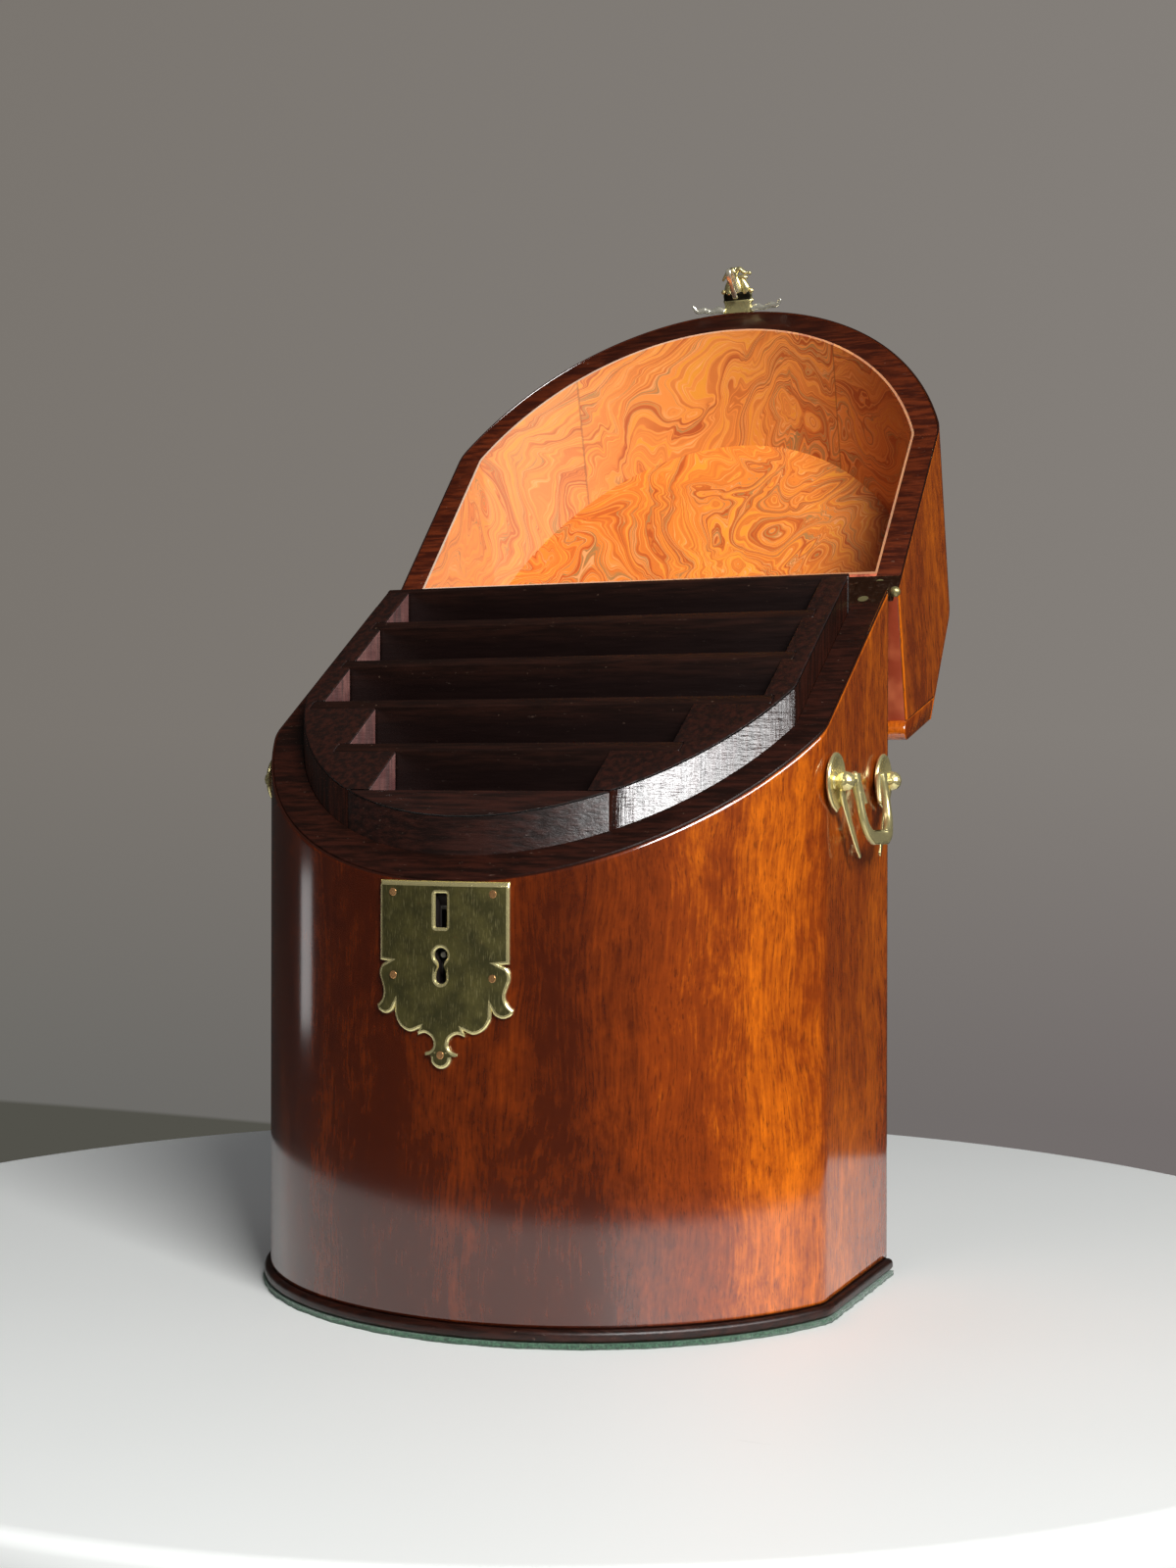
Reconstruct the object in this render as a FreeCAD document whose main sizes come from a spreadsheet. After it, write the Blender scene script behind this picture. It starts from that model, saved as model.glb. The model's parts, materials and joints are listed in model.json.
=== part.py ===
import FreeCAD, Part
import math
import os
import Sketcher

# Bow-fronted knife box with a hinged lid. Millimetres, +Z up.
# The frame's origin is the middle of the base: x across the front, y from the
# bow front (negative) to the flat back (positive), z up from the table.
# The lid's pieces are drawn closed and then turned open about the hinge pins.

SIZES = [
    ("body_width", 230.0, "side to side, over the veneer"),
    ("body_depth", 161.3, "bow front to flat back"),
    ("bow_share", 0.5096, "bow's share of the body's depth"),
    ("corner_radius", 17.5, "plan radius between bow and side"),
    ("front_height", 154.0, "front of the rim above the foot of the walls"),
    ("rim_slope", 34.4, "degrees, rim rises to the back"),
    ("veneer", 0.8, "mahogany veneer"),
    ("wall", 10.0, "carcass sides and bow front"),
    ("back_board", 10.0, "carcass back"),
    ("bottom_board", 8.0, "carcass bottom"),
    ("bead_height", 4.5, "dark bead round the foot"),
    ("bead_projection", 2.6, "bead beyond the veneer"),
    ("bead_round", 1.9, "rounding of the bead's edges"),
    ("baize", 2.0, "green baize under the base"),
    ("baize_projection", 3.0, "baize beyond the veneer"),
    ("rim_thickness", 2.5, "dark facing on the top of the walls, upright"),
    ("rack_setback", 12.5, "rack inside the outer faces"),
    ("rack_back_setback", 11.3, "rack in front of the back face"),
    ("rack_gap", 0.2, "between the rim facing and the rack"),
    ("rack_lift", 14.0, "rack top above the rim"),
    ("rack_back", 2.0, "thin board behind the rear slot"),
    ("rack_front", 13.3, "block in front of the first slot"),
    ("partition", 4.3, "board between two slots"),
    ("cheek", 23.3, "rear slots' ends inside the outer faces"),
    ("fourth_cheek", 49.0, "fourth slot's ends inside the outer faces"),
    ("fifth_cheek", 71.5, "front slot's ends inside the outer faces"),
    ("rack_floor_height", 66.0, "top of the rack's floor above the foot"),
    ("rack_floor", 6.0, "rack's floor board"),
    ("bearer_thickness", 8.0, "bearers under the rack's floor"),
    ("bearer_spread", 120.0, "between the two bearers' middles"),
    ("bearer_length", 90.0, "bearers, front to back"),
    ("lid_gap", 0.3, "between the closed lid and the rim, upright"),
    ("lid_back_height", 62.4, "lid's flat top above the rim's back"),
    ("lid_front_height", 65.0, "lid's front edge above the rim's front"),
    ("flat_length", 38.6, "lid's flat top, front to back"),
    ("lid_board", 8.0, "lid's sloping and flat boards"),
    ("lid_back", 8.0, "lid's back board"),
    ("top_overhang", 4.0, "flat board beyond the back"),
    ("liner", 1.0, "papered card inside the lid"),
    ("open_angle", 166.0, "degrees, closed to open"),
    ("pin_offset", 8.0, "hinge pin behind the back face"),
    ("hinge_length", 40.0, "each hinge"),
    ("leaf", 1.2, "hinge leaf thickness"),
    ("leaf_reach", 9.5, "leaf on the wood, along the slope"),
    ("lid_leaf_reach", 8.0, "the same on the lid"),
    ("knuckle_radius", 3.8, "outside of a knuckle"),
    ("knuckle_gap", 0.3, "between two knuckles"),
    ("pin_radius", 1.2, "hinge pin"),
    ("pin_clearance", 0.05, "radial, pin in the turning knuckle"),
    ("pin_head_radius", 2.2, "ball ends of a pin"),
    ("hinge_screw_radius", 1.1, "hinge screw shank"),
    ("hinge_screw_head", 2.1, "hinge screw head radius"),
    ("hinge_screw_length", 5.5, "hinge screw"),
    ("plate", 1.6, "brass plates on the front"),
    ("plate_width", 50.0, "lock plate"),
    ("plate_square", 28.0, "straight-sided upper part of the lock plate"),
    ("staple_slot_width", 4.6, "slot for the staple"),
    ("staple_slot_height", 11.9, "slot for the staple"),
    ("staple_slot_drop", 4.4, "slot's top below the rim"),
    ("keyhole_drop", 25.9, "keyhole's middle below the rim"),
    ("keyhole_radius", 2.5, "keyhole"),
    ("keyhole_tail", 10.0, "keyhole's tail below its middle"),
    ("keyhole_tail_width", 3.6, "keyhole's tail"),
    ("nail_radius", 0.7, "brass nail shank"),
    ("nail_head", 1.4, "brass nail head radius"),
    ("nail_depth", 6.0, "nail in the wood"),
    ("plate_overlap", 8.0, "lock plate beyond the lock case, each side"),
    ("lock_height", 36.0, "lock case"),
    ("lock_top", 3.0, "lock case's top below the rim"),
    ("lock_setback", 3.2, "lock case behind the front"),
    ("lock_depth", 6.6, "lock case, front to back"),
    ("lock_sheet", 1.0, "lock's sheet metal"),
    ("key_post_radius", 1.0, "pin that the key turns on"),
    ("bolt_travel", 5.0, "lock bolt"),
    ("bolt_thickness", 2.0, "lock bolt"),
    ("bolt_height", 6.0, "lock bolt"),
    ("bolt_length", 8.0, "lock bolt without its tip"),
    ("bolt_tip", 1.6, "tip that enters the staple"),
    ("bolt_rest", 0.8, "drawn-back tip beside the staple"),
    ("bolt_play", 0.3, "lock bolt in its guides"),
    ("staple_width", 3.6, "staple across"),
    ("staple_height", 5.5, "staple, upright"),
    ("staple_reach", 7.0, "staple's tip behind the front"),
    ("staple_length", 17.6, "staple along its slant, with its root in the lift"),
    ("eye_size", 2.8, "staple's eye"),
    ("staple_drop", 10.3, "staple's middle below the rim, in the slot"),
    ("staple_play", 0.7, "staple in its passage"),
    ("lift_rise", 8.0, "thumb lift above the lid's edge"),
    ("lift_drop", 21.0, "thumb lift below the lid's edge"),
    ("lift_width", 13.0, "thumb lift"),
    ("lift_thickness", 3.4, "thumb lift"),
    ("lift_standoff", 0.6, "thumb lift off the lock plate"),
    ("lid_plate_width", 45.0, "plate on the lid's front"),
    ("lid_plate_height", 22.0, "plate on the lid's front"),
    ("post_height", 189.0, "handle posts above the foot"),
    ("post_back", 12.8, "rear post in front of the back face"),
    ("post_spacing", 63.5, "between the two posts"),
    ("post_radius", 1.8, "post's shank"),
    ("post_ball", 3.8, "ball on the post's end"),
    ("post_reach", 5.2, "ball's middle off the side"),
    ("pivot_radius", 1.2, "handle's end in the ball"),
    ("rosette_radius", 10.7, "dished rosette"),
    ("rosette_rise", 2.6, "rosette's edge off the side"),
    ("rosette_sheet", 1.2, "rosette's metal"),
    ("bail_radius", 2.0, "handle's rod"),
    ("ball_clearance", 0.4, "between the handle's rod and the balls"),
    ("neck_run", 5.2, "handle's rod beside each ball"),
    ("bail_drop", 22.0, "handle below its pivots"),
    ("bail_tilt", 10.5, "degrees, handle held off the side by its spurs"),
    ("spur_root", 1.3, "spur's radius at the post"),
    ("spur_tip", 0.5, "spur's radius at its tip"),
    ("spur_length", 28.0, "spur that the handle rests on"),
    ("spur_start", 2.95, "spur's root off the side"),
    ("spur_lean", 3.8, "spur's tip further off the side than its root"),
    ("spur_reach", 15.5, "spur's tip inwards from its post"),
    ("bail_bend", 9.0, "handle's lower corners"),
    ("neck_bend", 4.0, "handle's upper bends"),
    ("nut_radius", 2.7, "nut inside the side"),
    ("nut_height", 1.2, "nut inside the side"),
    ("cut_margin", 60.0, "how far cutting shapes pass the wood"),
]

SIZE = {alias: number for alias, number, note in SIZES}
SIZE["bow_depth"] = SIZE["bow_share"] * SIZE["body_depth"]


def bow_radius():
    """Radius of the bow that runs smoothly into the two corners."""
    corner_middle = SIZE["body_width"] / 2 - SIZE["corner_radius"]
    reach = SIZE["bow_depth"] - SIZE["corner_radius"]
    return (corner_middle ** 2 + SIZE["bow_depth"] ** 2 - SIZE["corner_radius"] ** 2) / (2 * reach)


def slot_room():
    """Depth of one slot when the five share the rack evenly."""
    rack = SIZE["body_depth"] - SIZE["rack_setback"] - SIZE["rack_back_setback"]
    return (rack - SIZE["rack_back"] - SIZE["rack_front"] - 4 * SIZE["partition"]) / 5


DERIVED = [
    ("bow_depth", SIZE["bow_depth"], "bow front to the start of the straight sides"),
    ("lock_width", SIZE["plate_width"] - 2 * SIZE["plate_overlap"], "lock case"),
    ("front_radius", bow_radius(), "plan radius of the bow front"),
    ("slot_width", slot_room(), "each slot, front to back"),
    ("rear_slot_length", SIZE["body_width"] - 2 * SIZE["cheek"], "three rear slots"),
    ("fourth_slot_length", SIZE["body_width"] - 2 * SIZE["fourth_cheek"], "fourth slot"),
    ("fifth_slot_length", SIZE["body_width"] - 2 * SIZE["fifth_cheek"], "front slot"),
]

doc = FreeCAD.newDocument("KnifeBox")
sheet = doc.addObject("Spreadsheet::Sheet", "Sizes")
for row, (alias, number, note) in enumerate(SIZES + DERIVED, start=1):
    sheet.set("A%d" % row, note)
    sheet.set("B%d" % row, str(number))
    sheet.setAlias("B%d" % row, alias)
    SIZE[alias] = number
doc.recompute()

X_AXIS = FreeCAD.Vector(1, 0, 0)
Y_AXIS = FreeCAD.Vector(0, 1, 0)
Z_AXIS = FreeCAD.Vector(0, 0, 1)
NODES = []


def term(token):
    """Value of one word of a sum: a number, a size, or a factor times a size."""
    factor, star, name = token.rpartition("*")
    if name in SIZE:
        return SIZE[name] * (float(factor) if star else 1.0)
    return float(token)


def amount(text):
    """Value of a sum of sizes, such as 'wall + veneer - 0.5*plate'."""
    value = 0.0
    sign = 1.0
    for token in text.split():
        if token in "+-":
            sign = 1.0 if token == "+" else -1.0
        else:
            value += sign * term(token)
    return value


def formula(text):
    """The same sum as a formula on the sheet's cells."""
    words = []
    for token in text.split():
        factor, star, name = token.rpartition("*")
        words.append(factor + star + "Sizes." + name if name in SIZE else token)
    return " ".join(words)


def bind(item, path, text):
    item.setExpression(path, formula(text))


def vector(x, y, z):
    return FreeCAD.Vector(x, y, z)


def place(x, y, z, axis=Z_AXIS, angle=0.0):
    return FreeCAD.Placement(vector(x, y, z), FreeCAD.Rotation(axis, angle))


# ---- places worked out from the sizes --------------------------------------
half_width = SIZE["body_width"] / 2
back_y = SIZE["body_depth"] / 2
front_y = -back_y
foot_z = SIZE["baize"] + SIZE["bead_height"]
slope = math.radians(SIZE["rim_slope"])
rim_front_z = foot_z + SIZE["front_height"]
rim_back_z = rim_front_z + SIZE["body_depth"] * math.tan(slope)
lid_top_z = rim_back_z + SIZE["lid_back_height"]
flat_front_y = back_y - SIZE["flat_length"]
lid_front_z = rim_front_z + SIZE["lid_front_height"]
lid_slope = math.atan2(lid_top_z - lid_front_z, flat_front_y - front_y)
pin_y = back_y + SIZE["pin_offset"]
pin_z = rim_back_z
tall = lid_top_z + SIZE["cut_margin"]
arc_y = front_y + SIZE["front_radius"]
corner_x = half_width - SIZE["corner_radius"]
corner_y = front_y + SIZE["bow_depth"]
arc_sweep = math.atan2(corner_x, arc_y - corner_y)
rack_floor_z = foot_z + SIZE["rack_floor_height"]

OPEN = (FreeCAD.Placement(vector(0, pin_y, pin_z), FreeCAD.Rotation(X_AXIS, -SIZE["open_angle"]))
        * FreeCAD.Placement(vector(0, -pin_y, -pin_z), FreeCAD.Rotation()))


def rim_z(y, lift=0.0):
    """Height of the sloping rim at y."""
    return rim_front_z + (y - front_y) * math.tan(slope) + lift


# ---- builders ---------------------------------------------------------------
def node(item, label, open_lid=False):
    """Name a finished piece; pieces of the lid are turned open."""
    item.Label = label
    if open_lid:
        item.Placement = OPEN * item.Placement
    NODES.append(item)
    return item


def origin_plane(body, role):
    return [feature for feature in body.Origin.OriginFeatures if feature.Role == role][0]


def new_body(name):
    return doc.addObject("PartDesign::Body", name + "_body")


def new_sketch(body, name, role="XY_Plane"):
    sketch = body.newObject("Sketcher::SketchObject", name)
    sketch.AttachmentSupport = (origin_plane(body, role), [""])
    sketch.MapMode = "FlatFace"
    return sketch


def size_rule(sketch, rule, name, text):
    """Add a dimension to a sketch and tie it to the sheet."""
    index = sketch.addConstraint(rule)
    sketch.renameConstraint(index, name)
    bind(sketch, "Constraints." + name, text)


def draw_plan(sketch, inset, back_inset):
    """The box's plan: flat back, straight sides, rounded corners and bow front,
    drawn parallel to the outer face at the given inset."""
    edge = half_width - amount(inset)
    back = back_y - amount(back_inset)
    small = SIZE["corner_radius"] - amount(inset)
    large = SIZE["front_radius"] - amount(inset)
    turn = math.pi / 2

    def arc(x, y, radius, start, end):
        return Part.ArcOfCircle(Part.Circle(vector(x, y, 0), Z_AXIS, radius), start, end)

    sketch.addGeometry([
        Part.LineSegment(vector(-edge, back, 0), vector(edge, back, 0)),
        Part.LineSegment(vector(edge, back, 0), vector(edge, corner_y, 0)),
        arc(corner_x, corner_y, small, arc_sweep - turn, 0),
        arc(0, arc_y, large, -turn - arc_sweep, -turn + arc_sweep),
        arc(-corner_x, corner_y, small, math.pi, 3 * turn - arc_sweep),
        Part.LineSegment(vector(-edge, corner_y, 0), vector(-edge, back, 0)),
    ], False)
    rule = Sketcher.Constraint
    sketch.addConstraint([
        rule("Coincident", 0, 2, 1, 1),
        rule("Coincident", 5, 2, 0, 1),
        rule("Tangent", 1, 2, 2, 2),
        rule("Tangent", 2, 1, 3, 2),
        rule("Tangent", 3, 1, 4, 2),
        rule("Tangent", 4, 1, 5, 1),
        rule("Vertical", 1),
        rule("Vertical", 5),
        rule("Symmetric", 0, 1, 0, 2, -2),
        rule("PointOnObject", 3, 3, -2),
        rule("Equal", 2, 4),
    ])
    size_rule(sketch, rule("DistanceY", -1, 1, 3, 3, arc_y), "bow_middle",
              "front_radius - 0.5*body_depth")
    size_rule(sketch, rule("Radius", 3, large), "bow", "front_radius - ( " + inset + " )")
    size_rule(sketch, rule("Radius", 2, small), "corner", "corner_radius - ( " + inset + " )")
    size_rule(sketch, rule("DistanceX", 0, 1, 0, 2, 2 * edge), "across",
              "body_width - 2 * ( " + inset + " )")
    size_rule(sketch, rule("DistanceY", -1, 1, 0, 1, back), "back",
              "0.5*body_depth - ( " + back_inset + " )")


def plan_prism(name, inset, back_inset, height, z):
    """A solid with the box's plan."""
    body = new_body(name)
    sketch = new_sketch(body, name + "_plan")
    draw_plan(sketch, inset, back_inset)
    pad = body.newObject("PartDesign::Pad", name + "_pad")
    pad.Profile = sketch
    bind(pad, "Length", height)
    body.Placement = place(0, 0, z)
    return body


def plan_ring(name, outer, outer_back, inner, inner_back, height, z):
    """A wall that follows the box's plan between two insets."""
    body = plan_prism(name, outer, outer_back, height, z)
    sketch = new_sketch(body, name + "_hollow")
    draw_plan(sketch, inner, inner_back)
    pocket = body.newObject("PartDesign::Pocket", name + "_pocket")
    pocket.Profile = sketch
    pocket.Type = "ThroughAll"
    pocket.Reversed = True
    return body


def box(name, width, depth, height, placement):
    """A block; its sizes are sums of named sizes."""
    item = doc.addObject("Part::Box", name)
    bind(item, "Length", width)
    bind(item, "Width", depth)
    bind(item, "Height", height)
    item.Placement = placement
    return item


def cylinder(name, radius, height, placement):
    item = doc.addObject("Part::Cylinder", name)
    bind(item, "Radius", radius)
    bind(item, "Height", height)
    item.Placement = placement
    return item


def sphere(name, radius, placement):
    item = doc.addObject("Part::Sphere", name)
    bind(item, "Radius", radius)
    item.Placement = placement
    return item


def joined(name, items):
    fuse = doc.addObject("Part::MultiFuse", name)
    fuse.Shapes = items
    return fuse


def shared(name, first, second):
    common = doc.addObject("Part::Common", name)
    common.Base = first
    common.Tool = second
    return common


def cut(name, item, tools):
    for number, tool in enumerate(tools):
        result = doc.addObject("Part::Cut", "%s_cut_%d" % (name, number))
        result.Base = item
        result.Tool = tool
        item = result
    return item


def group(name, items):
    compound = doc.addObject("Part::Compound", name)
    compound.Links = items
    return compound


def space_above(name, angle, y, z):
    """Everything above a plane that runs across the box, through y, z at a slope."""
    reach = SIZE["cut_margin"]
    corner = vector(-SIZE["body_width"], y - reach * math.cos(angle), z - reach * math.sin(angle))
    placement = FreeCAD.Placement(corner, FreeCAD.Rotation(X_AXIS, math.degrees(angle)))
    return box(name, "2*body_width", "3*body_depth", "3*body_depth", placement)


def slab(name, y_low, depth, z=None, half=None):
    """An upright block across the box, from y_low, as deep as the sum says."""
    bottom = -SIZE["cut_margin"] if z is None else z
    return box(name, "2*body_width", depth, "4*body_width", place(-SIZE["body_width"], y_low, bottom))


# ---- planes that trim the walls ---------------------------------------------
board_rise = SIZE["lid_board"] / math.cos(lid_slope)
veneer_rise = SIZE["veneer"] / math.cos(lid_slope)
liner_rise = SIZE["liner"] / math.cos(lid_slope)
flat_under_z = lid_top_z - SIZE["lid_board"]
above_facing_seat = space_above("above_facing_seat", slope, front_y, rim_z(front_y, -SIZE["rim_thickness"]))
above_rim = space_above("above_rim", slope, front_y, rim_front_z)
above_gap = space_above("above_gap", slope, front_y, rim_z(front_y, SIZE["lid_gap"]))
above_rack = space_above("above_rack", slope, front_y, rim_z(front_y, SIZE["rack_lift"]))
above_lid = space_above("above_lid", lid_slope, front_y, lid_front_z)
above_slope_board = space_above("above_slope_board", lid_slope, front_y, lid_front_z - veneer_rise)
above_slope_walls = space_above("above_slope_walls", lid_slope, front_y,
                                lid_front_z - veneer_rise - board_rise)
above_slope_liner = space_above("above_slope_liner", lid_slope, front_y,
                                lid_front_z - veneer_rise - board_rise - liner_rise)
above_top = space_above("above_top", 0, front_y, lid_top_z)
above_flat_walls = space_above("above_flat_walls", 0, front_y, flat_under_z)
above_flat_liner = space_above("above_flat_liner", 0, front_y, flat_under_z - SIZE["liner"])
LID_TRIM = [above_slope_walls, above_flat_walls]

rear_right = slab("rear_right", corner_y, "body_depth")
rear_right.Placement = place(0, corner_y, -SIZE["cut_margin"])
rear_left = slab("rear_left", corner_y, "body_depth")
rear_left.Placement = place(-2 * SIZE["body_width"], corner_y, -SIZE["cut_margin"])
bow_zone = slab("bow_zone", corner_y - SIZE["body_depth"], "body_depth")
right_half = slab("right_half", -SIZE["body_depth"], "2*body_depth")
right_half.Placement = place(0, -SIZE["body_depth"], -SIZE["cut_margin"])
left_half = slab("left_half", -SIZE["body_depth"], "2*body_depth")
left_half.Placement = place(-2 * SIZE["body_width"], -SIZE["body_depth"], -SIZE["cut_margin"])

wall_ring = plan_ring("wall", "veneer", "0", "veneer + wall", "0 - back_board", "2*body_width", foot_z)
veneer_ring = plan_ring("veneer", "0", "0", "veneer", "0 - back_board", "2*body_width", foot_z)
plate_ring = plan_ring("plate", "0 - plate", "0", "0", "0 - back_board", "2*body_width", foot_z)

# ---- hinges -----------------------------------------------------------------
# Hinge pieces are drawn along the sloping rim: local y runs up the slope to the
# back from the rim's rear edge, local z stands square to the rim.
SLOPED = FreeCAD.Placement(vector(0, back_y, rim_back_z), FreeCAD.Rotation(X_AXIS, SIZE["rim_slope"]))
pin_up_slope = SIZE["pin_offset"] * math.cos(slope)
pin_below = SIZE["pin_offset"] * math.sin(slope)
gap_square = SIZE["lid_gap"] * math.cos(slope)
knuckle = (SIZE["hinge_length"] - 2 * SIZE["knuckle_gap"]) / 3
hinge_inner_x = half_width - SIZE["veneer"] - SIZE["hinge_length"]
screw_inset = SIZE["hinge_length"] / 5
LEFT_RIGHT = [("left", -1), ("right", 1)]


def on_slope(x, y, z):
    return SLOPED * FreeCAD.Placement(vector(x, y, z), FreeCAD.Rotation())


def along_x(x, y, z):
    """A round piece's place when it lies along +X."""
    return place(x, y, z, Y_AXIS, 90)


def side_start(side, start, length):
    """Low x of something that begins at start on the right, mirrored for the left."""
    return start if side > 0 else -start - length


def barrel(name, side, number, hole):
    """One knuckle, bored for the pin."""
    start = hinge_inner_x + number * (knuckle + SIZE["knuckle_gap"])
    x = side_start(side, start, knuckle)
    third = "0.333333333*hinge_length - 0.666666667*knuckle_gap"
    outside = cylinder(name + "_outside", "knuckle_radius", third, along_x(x, pin_y, pin_z))
    bore = cylinder(name + "_bore", hole, "hinge_length", along_x(x - knuckle, pin_y, pin_z))
    return outside, bore, x


def leaf_plate(name, x, width, y, depth, z):
    return box(name, width, depth, "leaf", on_slope(x, y, z))


def hinge_screw(name, x, y, z, up):
    """Countersunk screw square to the rim; up is 1 for the lid, -1 for the body."""
    turn = FreeCAD.Placement(vector(0, 0, 0), FreeCAD.Rotation(X_AXIS, 0 if up > 0 else 180))
    seat = on_slope(x, y, z) * turn
    head = doc.addObject("Part::Cone", name + "_head")
    bind(head, "Radius1", "hinge_screw_head")
    bind(head, "Radius2", "hinge_screw_radius")
    bind(head, "Height", "leaf")
    head.Placement = seat
    shank = cylinder(name + "_shank", "hinge_screw_radius", "hinge_screw_length", seat)
    return joined(name, [head, shank])


body_screws = []
lid_screws = []
leaf_beds = []
lid_leaf_beds = []
third = "0.333333333*hinge_length - 0.666666667*knuckle_gap"
for word, side in LEFT_RIGHT:
    leaf_x = side_start(side, hinge_inner_x, SIZE["hinge_length"])
    middle_x = leaf_x + SIZE["hinge_length"] / 2
    body_bed = leaf_plate("leaf_bed_" + word, leaf_x, "hinge_length", -SIZE["leaf_reach"],
                          "leaf_reach", -SIZE["leaf"])
    lid_bed = leaf_plate("lid_leaf_bed_" + word, leaf_x, "hinge_length", -SIZE["lid_leaf_reach"],
                         "lid_leaf_reach", gap_square)
    body_pair = []
    lid_pair = []
    for number, offset in enumerate((-1.5, 1.5)):
        x = middle_x + offset * screw_inset
        body_pair.append(hinge_screw("body_screw_%s_%d" % (word, number), x,
                                     -0.65 * SIZE["leaf_reach"], 0, -1))
        lid_pair.append(hinge_screw("lid_screw_%s_%d" % (word, number), x,
                                    -0.5 * SIZE["lid_leaf_reach"], gap_square, 1))
    solids = [body_bed]
    bores = []
    for number in (0, 2):
        outside, bore, x = barrel("body_barrel_%s_%d" % (word, number), side, number, "pin_radius")
        strap = leaf_plate("body_strap_%s_%d" % (word, number), x, third, -SIZE["leaf"],
                           "pin_offset + leaf", -SIZE["leaf"])
        solids += [outside, strap]
        bores.append(bore)
    body_leaf = cut("body_leaf_" + word, joined("body_leaf_solids_" + word, solids), bores + body_pair)
    node(body_leaf, "hinge_body_leaf_" + word)

    outside, bore, x = barrel("lid_barrel_" + word, side, 1, "pin_radius + pin_clearance")
    web = box("lid_web_" + word, third, "0.9*knuckle_radius", "pin_offset",
              on_slope(x, pin_up_slope - 0.45 * SIZE["knuckle_radius"],
                       gap_square + SIZE["leaf"] - SIZE["pin_offset"] * 0.72))
    web.setExpression("Height", formula("0.72*pin_offset"))
    strap = leaf_plate("lid_strap_" + word, x, third, -SIZE["leaf"], "pin_offset + leaf", gap_square)
    lid_solid = joined("lid_leaf_solids_" + word, [lid_bed, outside, web, strap])
    lid_leaf = cut("lid_leaf_" + word, lid_solid, [bore] + lid_pair)
    node(lid_leaf, "hinge_lid_leaf_" + word, True)

    pin_x = leaf_x - 0.4 * SIZE["pin_head_radius"]
    rod = cylinder("pin_rod_" + word, "pin_radius", "hinge_length + 0.8*pin_head_radius",
                   along_x(pin_x, pin_y, pin_z))
    balls = [sphere("pin_ball_%s_%d" % (word, number), "pin_head_radius", along_x(x_ball, pin_y, pin_z))
             for number, x_ball in enumerate((leaf_x - 0.6 * SIZE["pin_head_radius"],
                                              leaf_x + SIZE["hinge_length"] + 0.6 * SIZE["pin_head_radius"]))]
    knuckle_block = cylinder("pin_trim_" + word, "knuckle_radius", "hinge_length",
                             along_x(leaf_x, pin_y, pin_z))
    heads = [cut("pin_head_%s_%d" % (word, number), ball, [knuckle_block])
             for number, ball in enumerate(balls)]
    node(joined("hinge_pin_solid_" + word, [rod] + heads), "hinge_pin_" + word)
    body_screws += body_pair
    lid_screws += lid_pair
    leaf_beds.append(body_bed)
    lid_leaf_beds.append(lid_solid)
node(group("body_screw_group", body_screws), "hinge_body_screws")
node(group("lid_screw_group", lid_screws), "hinge_lid_screws", True)

# ---- lock, lock plate and staple: what they need cut out of the front --------
rise_y = front_y - pin_y
staple_z = rim_front_z - SIZE["staple_drop"]
rise_z = staple_z - pin_z
staple_angle = math.atan2(rise_y, -rise_z)
staple_run = math.cos(staple_angle)
STAPLE = FreeCAD.Placement(vector(0, front_y, staple_z), FreeCAD.Rotation(X_AXIS, math.degrees(staple_angle)))
lock_top_z = rim_front_z - SIZE["lock_top"]
lock_low_z = lock_top_z - SIZE["lock_height"]
lock_y = front_y + SIZE["lock_setback"]
lock_back_y = lock_y + SIZE["lock_depth"]
key_z = rim_front_z - SIZE["keyhole_drop"]

staple_passage = box("staple_passage", "staple_slot_width", "3*wall", "staple_height + 2*staple_play",
                     STAPLE * place(-SIZE["staple_slot_width"] / 2, -SIZE["wall"],
                                    -SIZE["staple_height"] / 2 - SIZE["staple_play"]))
passage_limit = slab("passage_limit", front_y - SIZE["wall"], "wall + lock_setback + lock_depth")
staple_way = shared("staple_way", staple_passage, passage_limit)
key_y = front_y - SIZE["wall"] + SIZE["lock_setback"]
key_round = cylinder("key_round", "keyhole_radius", "wall + 2*lock_sheet",
                     place(0, key_y, key_z, X_AXIS, -90))
key_tail = box("key_tail", "keyhole_tail_width", "wall + 2*lock_sheet", "keyhole_tail",
               place(-SIZE["keyhole_tail_width"] / 2, key_y, key_z - SIZE["keyhole_tail"]))
keyhole = joined("keyhole", [key_round, key_tail])
lock_pocket = box("lock_pocket", "lock_width", "2*wall", "lock_height",
                  place(-SIZE["lock_width"] / 2, lock_y, lock_low_z))

# ---- handle posts: their places and the holes through the sides --------------
post_z = foot_z + SIZE["post_height"]
POST_Y = [back_y - SIZE["post_back"] - SIZE["post_spacing"], back_y - SIZE["post_back"]]
wall_inner_x = half_width - SIZE["veneer"] - SIZE["wall"]
shank_length = "wall + veneer + nut_height + post_reach"
post_shanks = {}
for word, side in LEFT_RIGHT:
    start = wall_inner_x - SIZE["nut_height"]
    x = side_start(side, start, half_width + SIZE["post_reach"] - start)
    post_shanks[word] = [cylinder("post_shank_%s_%d" % (word, number), "post_radius", shank_length,
                                  along_x(x, y, post_z)) for number, y in enumerate(POST_Y)]

# ---- carcass ----------------------------------------------------------------
for word, side, region, bed in (("left", -1, rear_left, leaf_beds[0]), ("right", 1, rear_right, leaf_beds[1])):
    side_board = cut("side_board_cut_" + word, shared("side_board_blank_" + word, wall_ring, region),
                     [above_facing_seat, bed] + post_shanks[word] + body_screws)
    node(side_board, "side_board_" + word)

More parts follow.
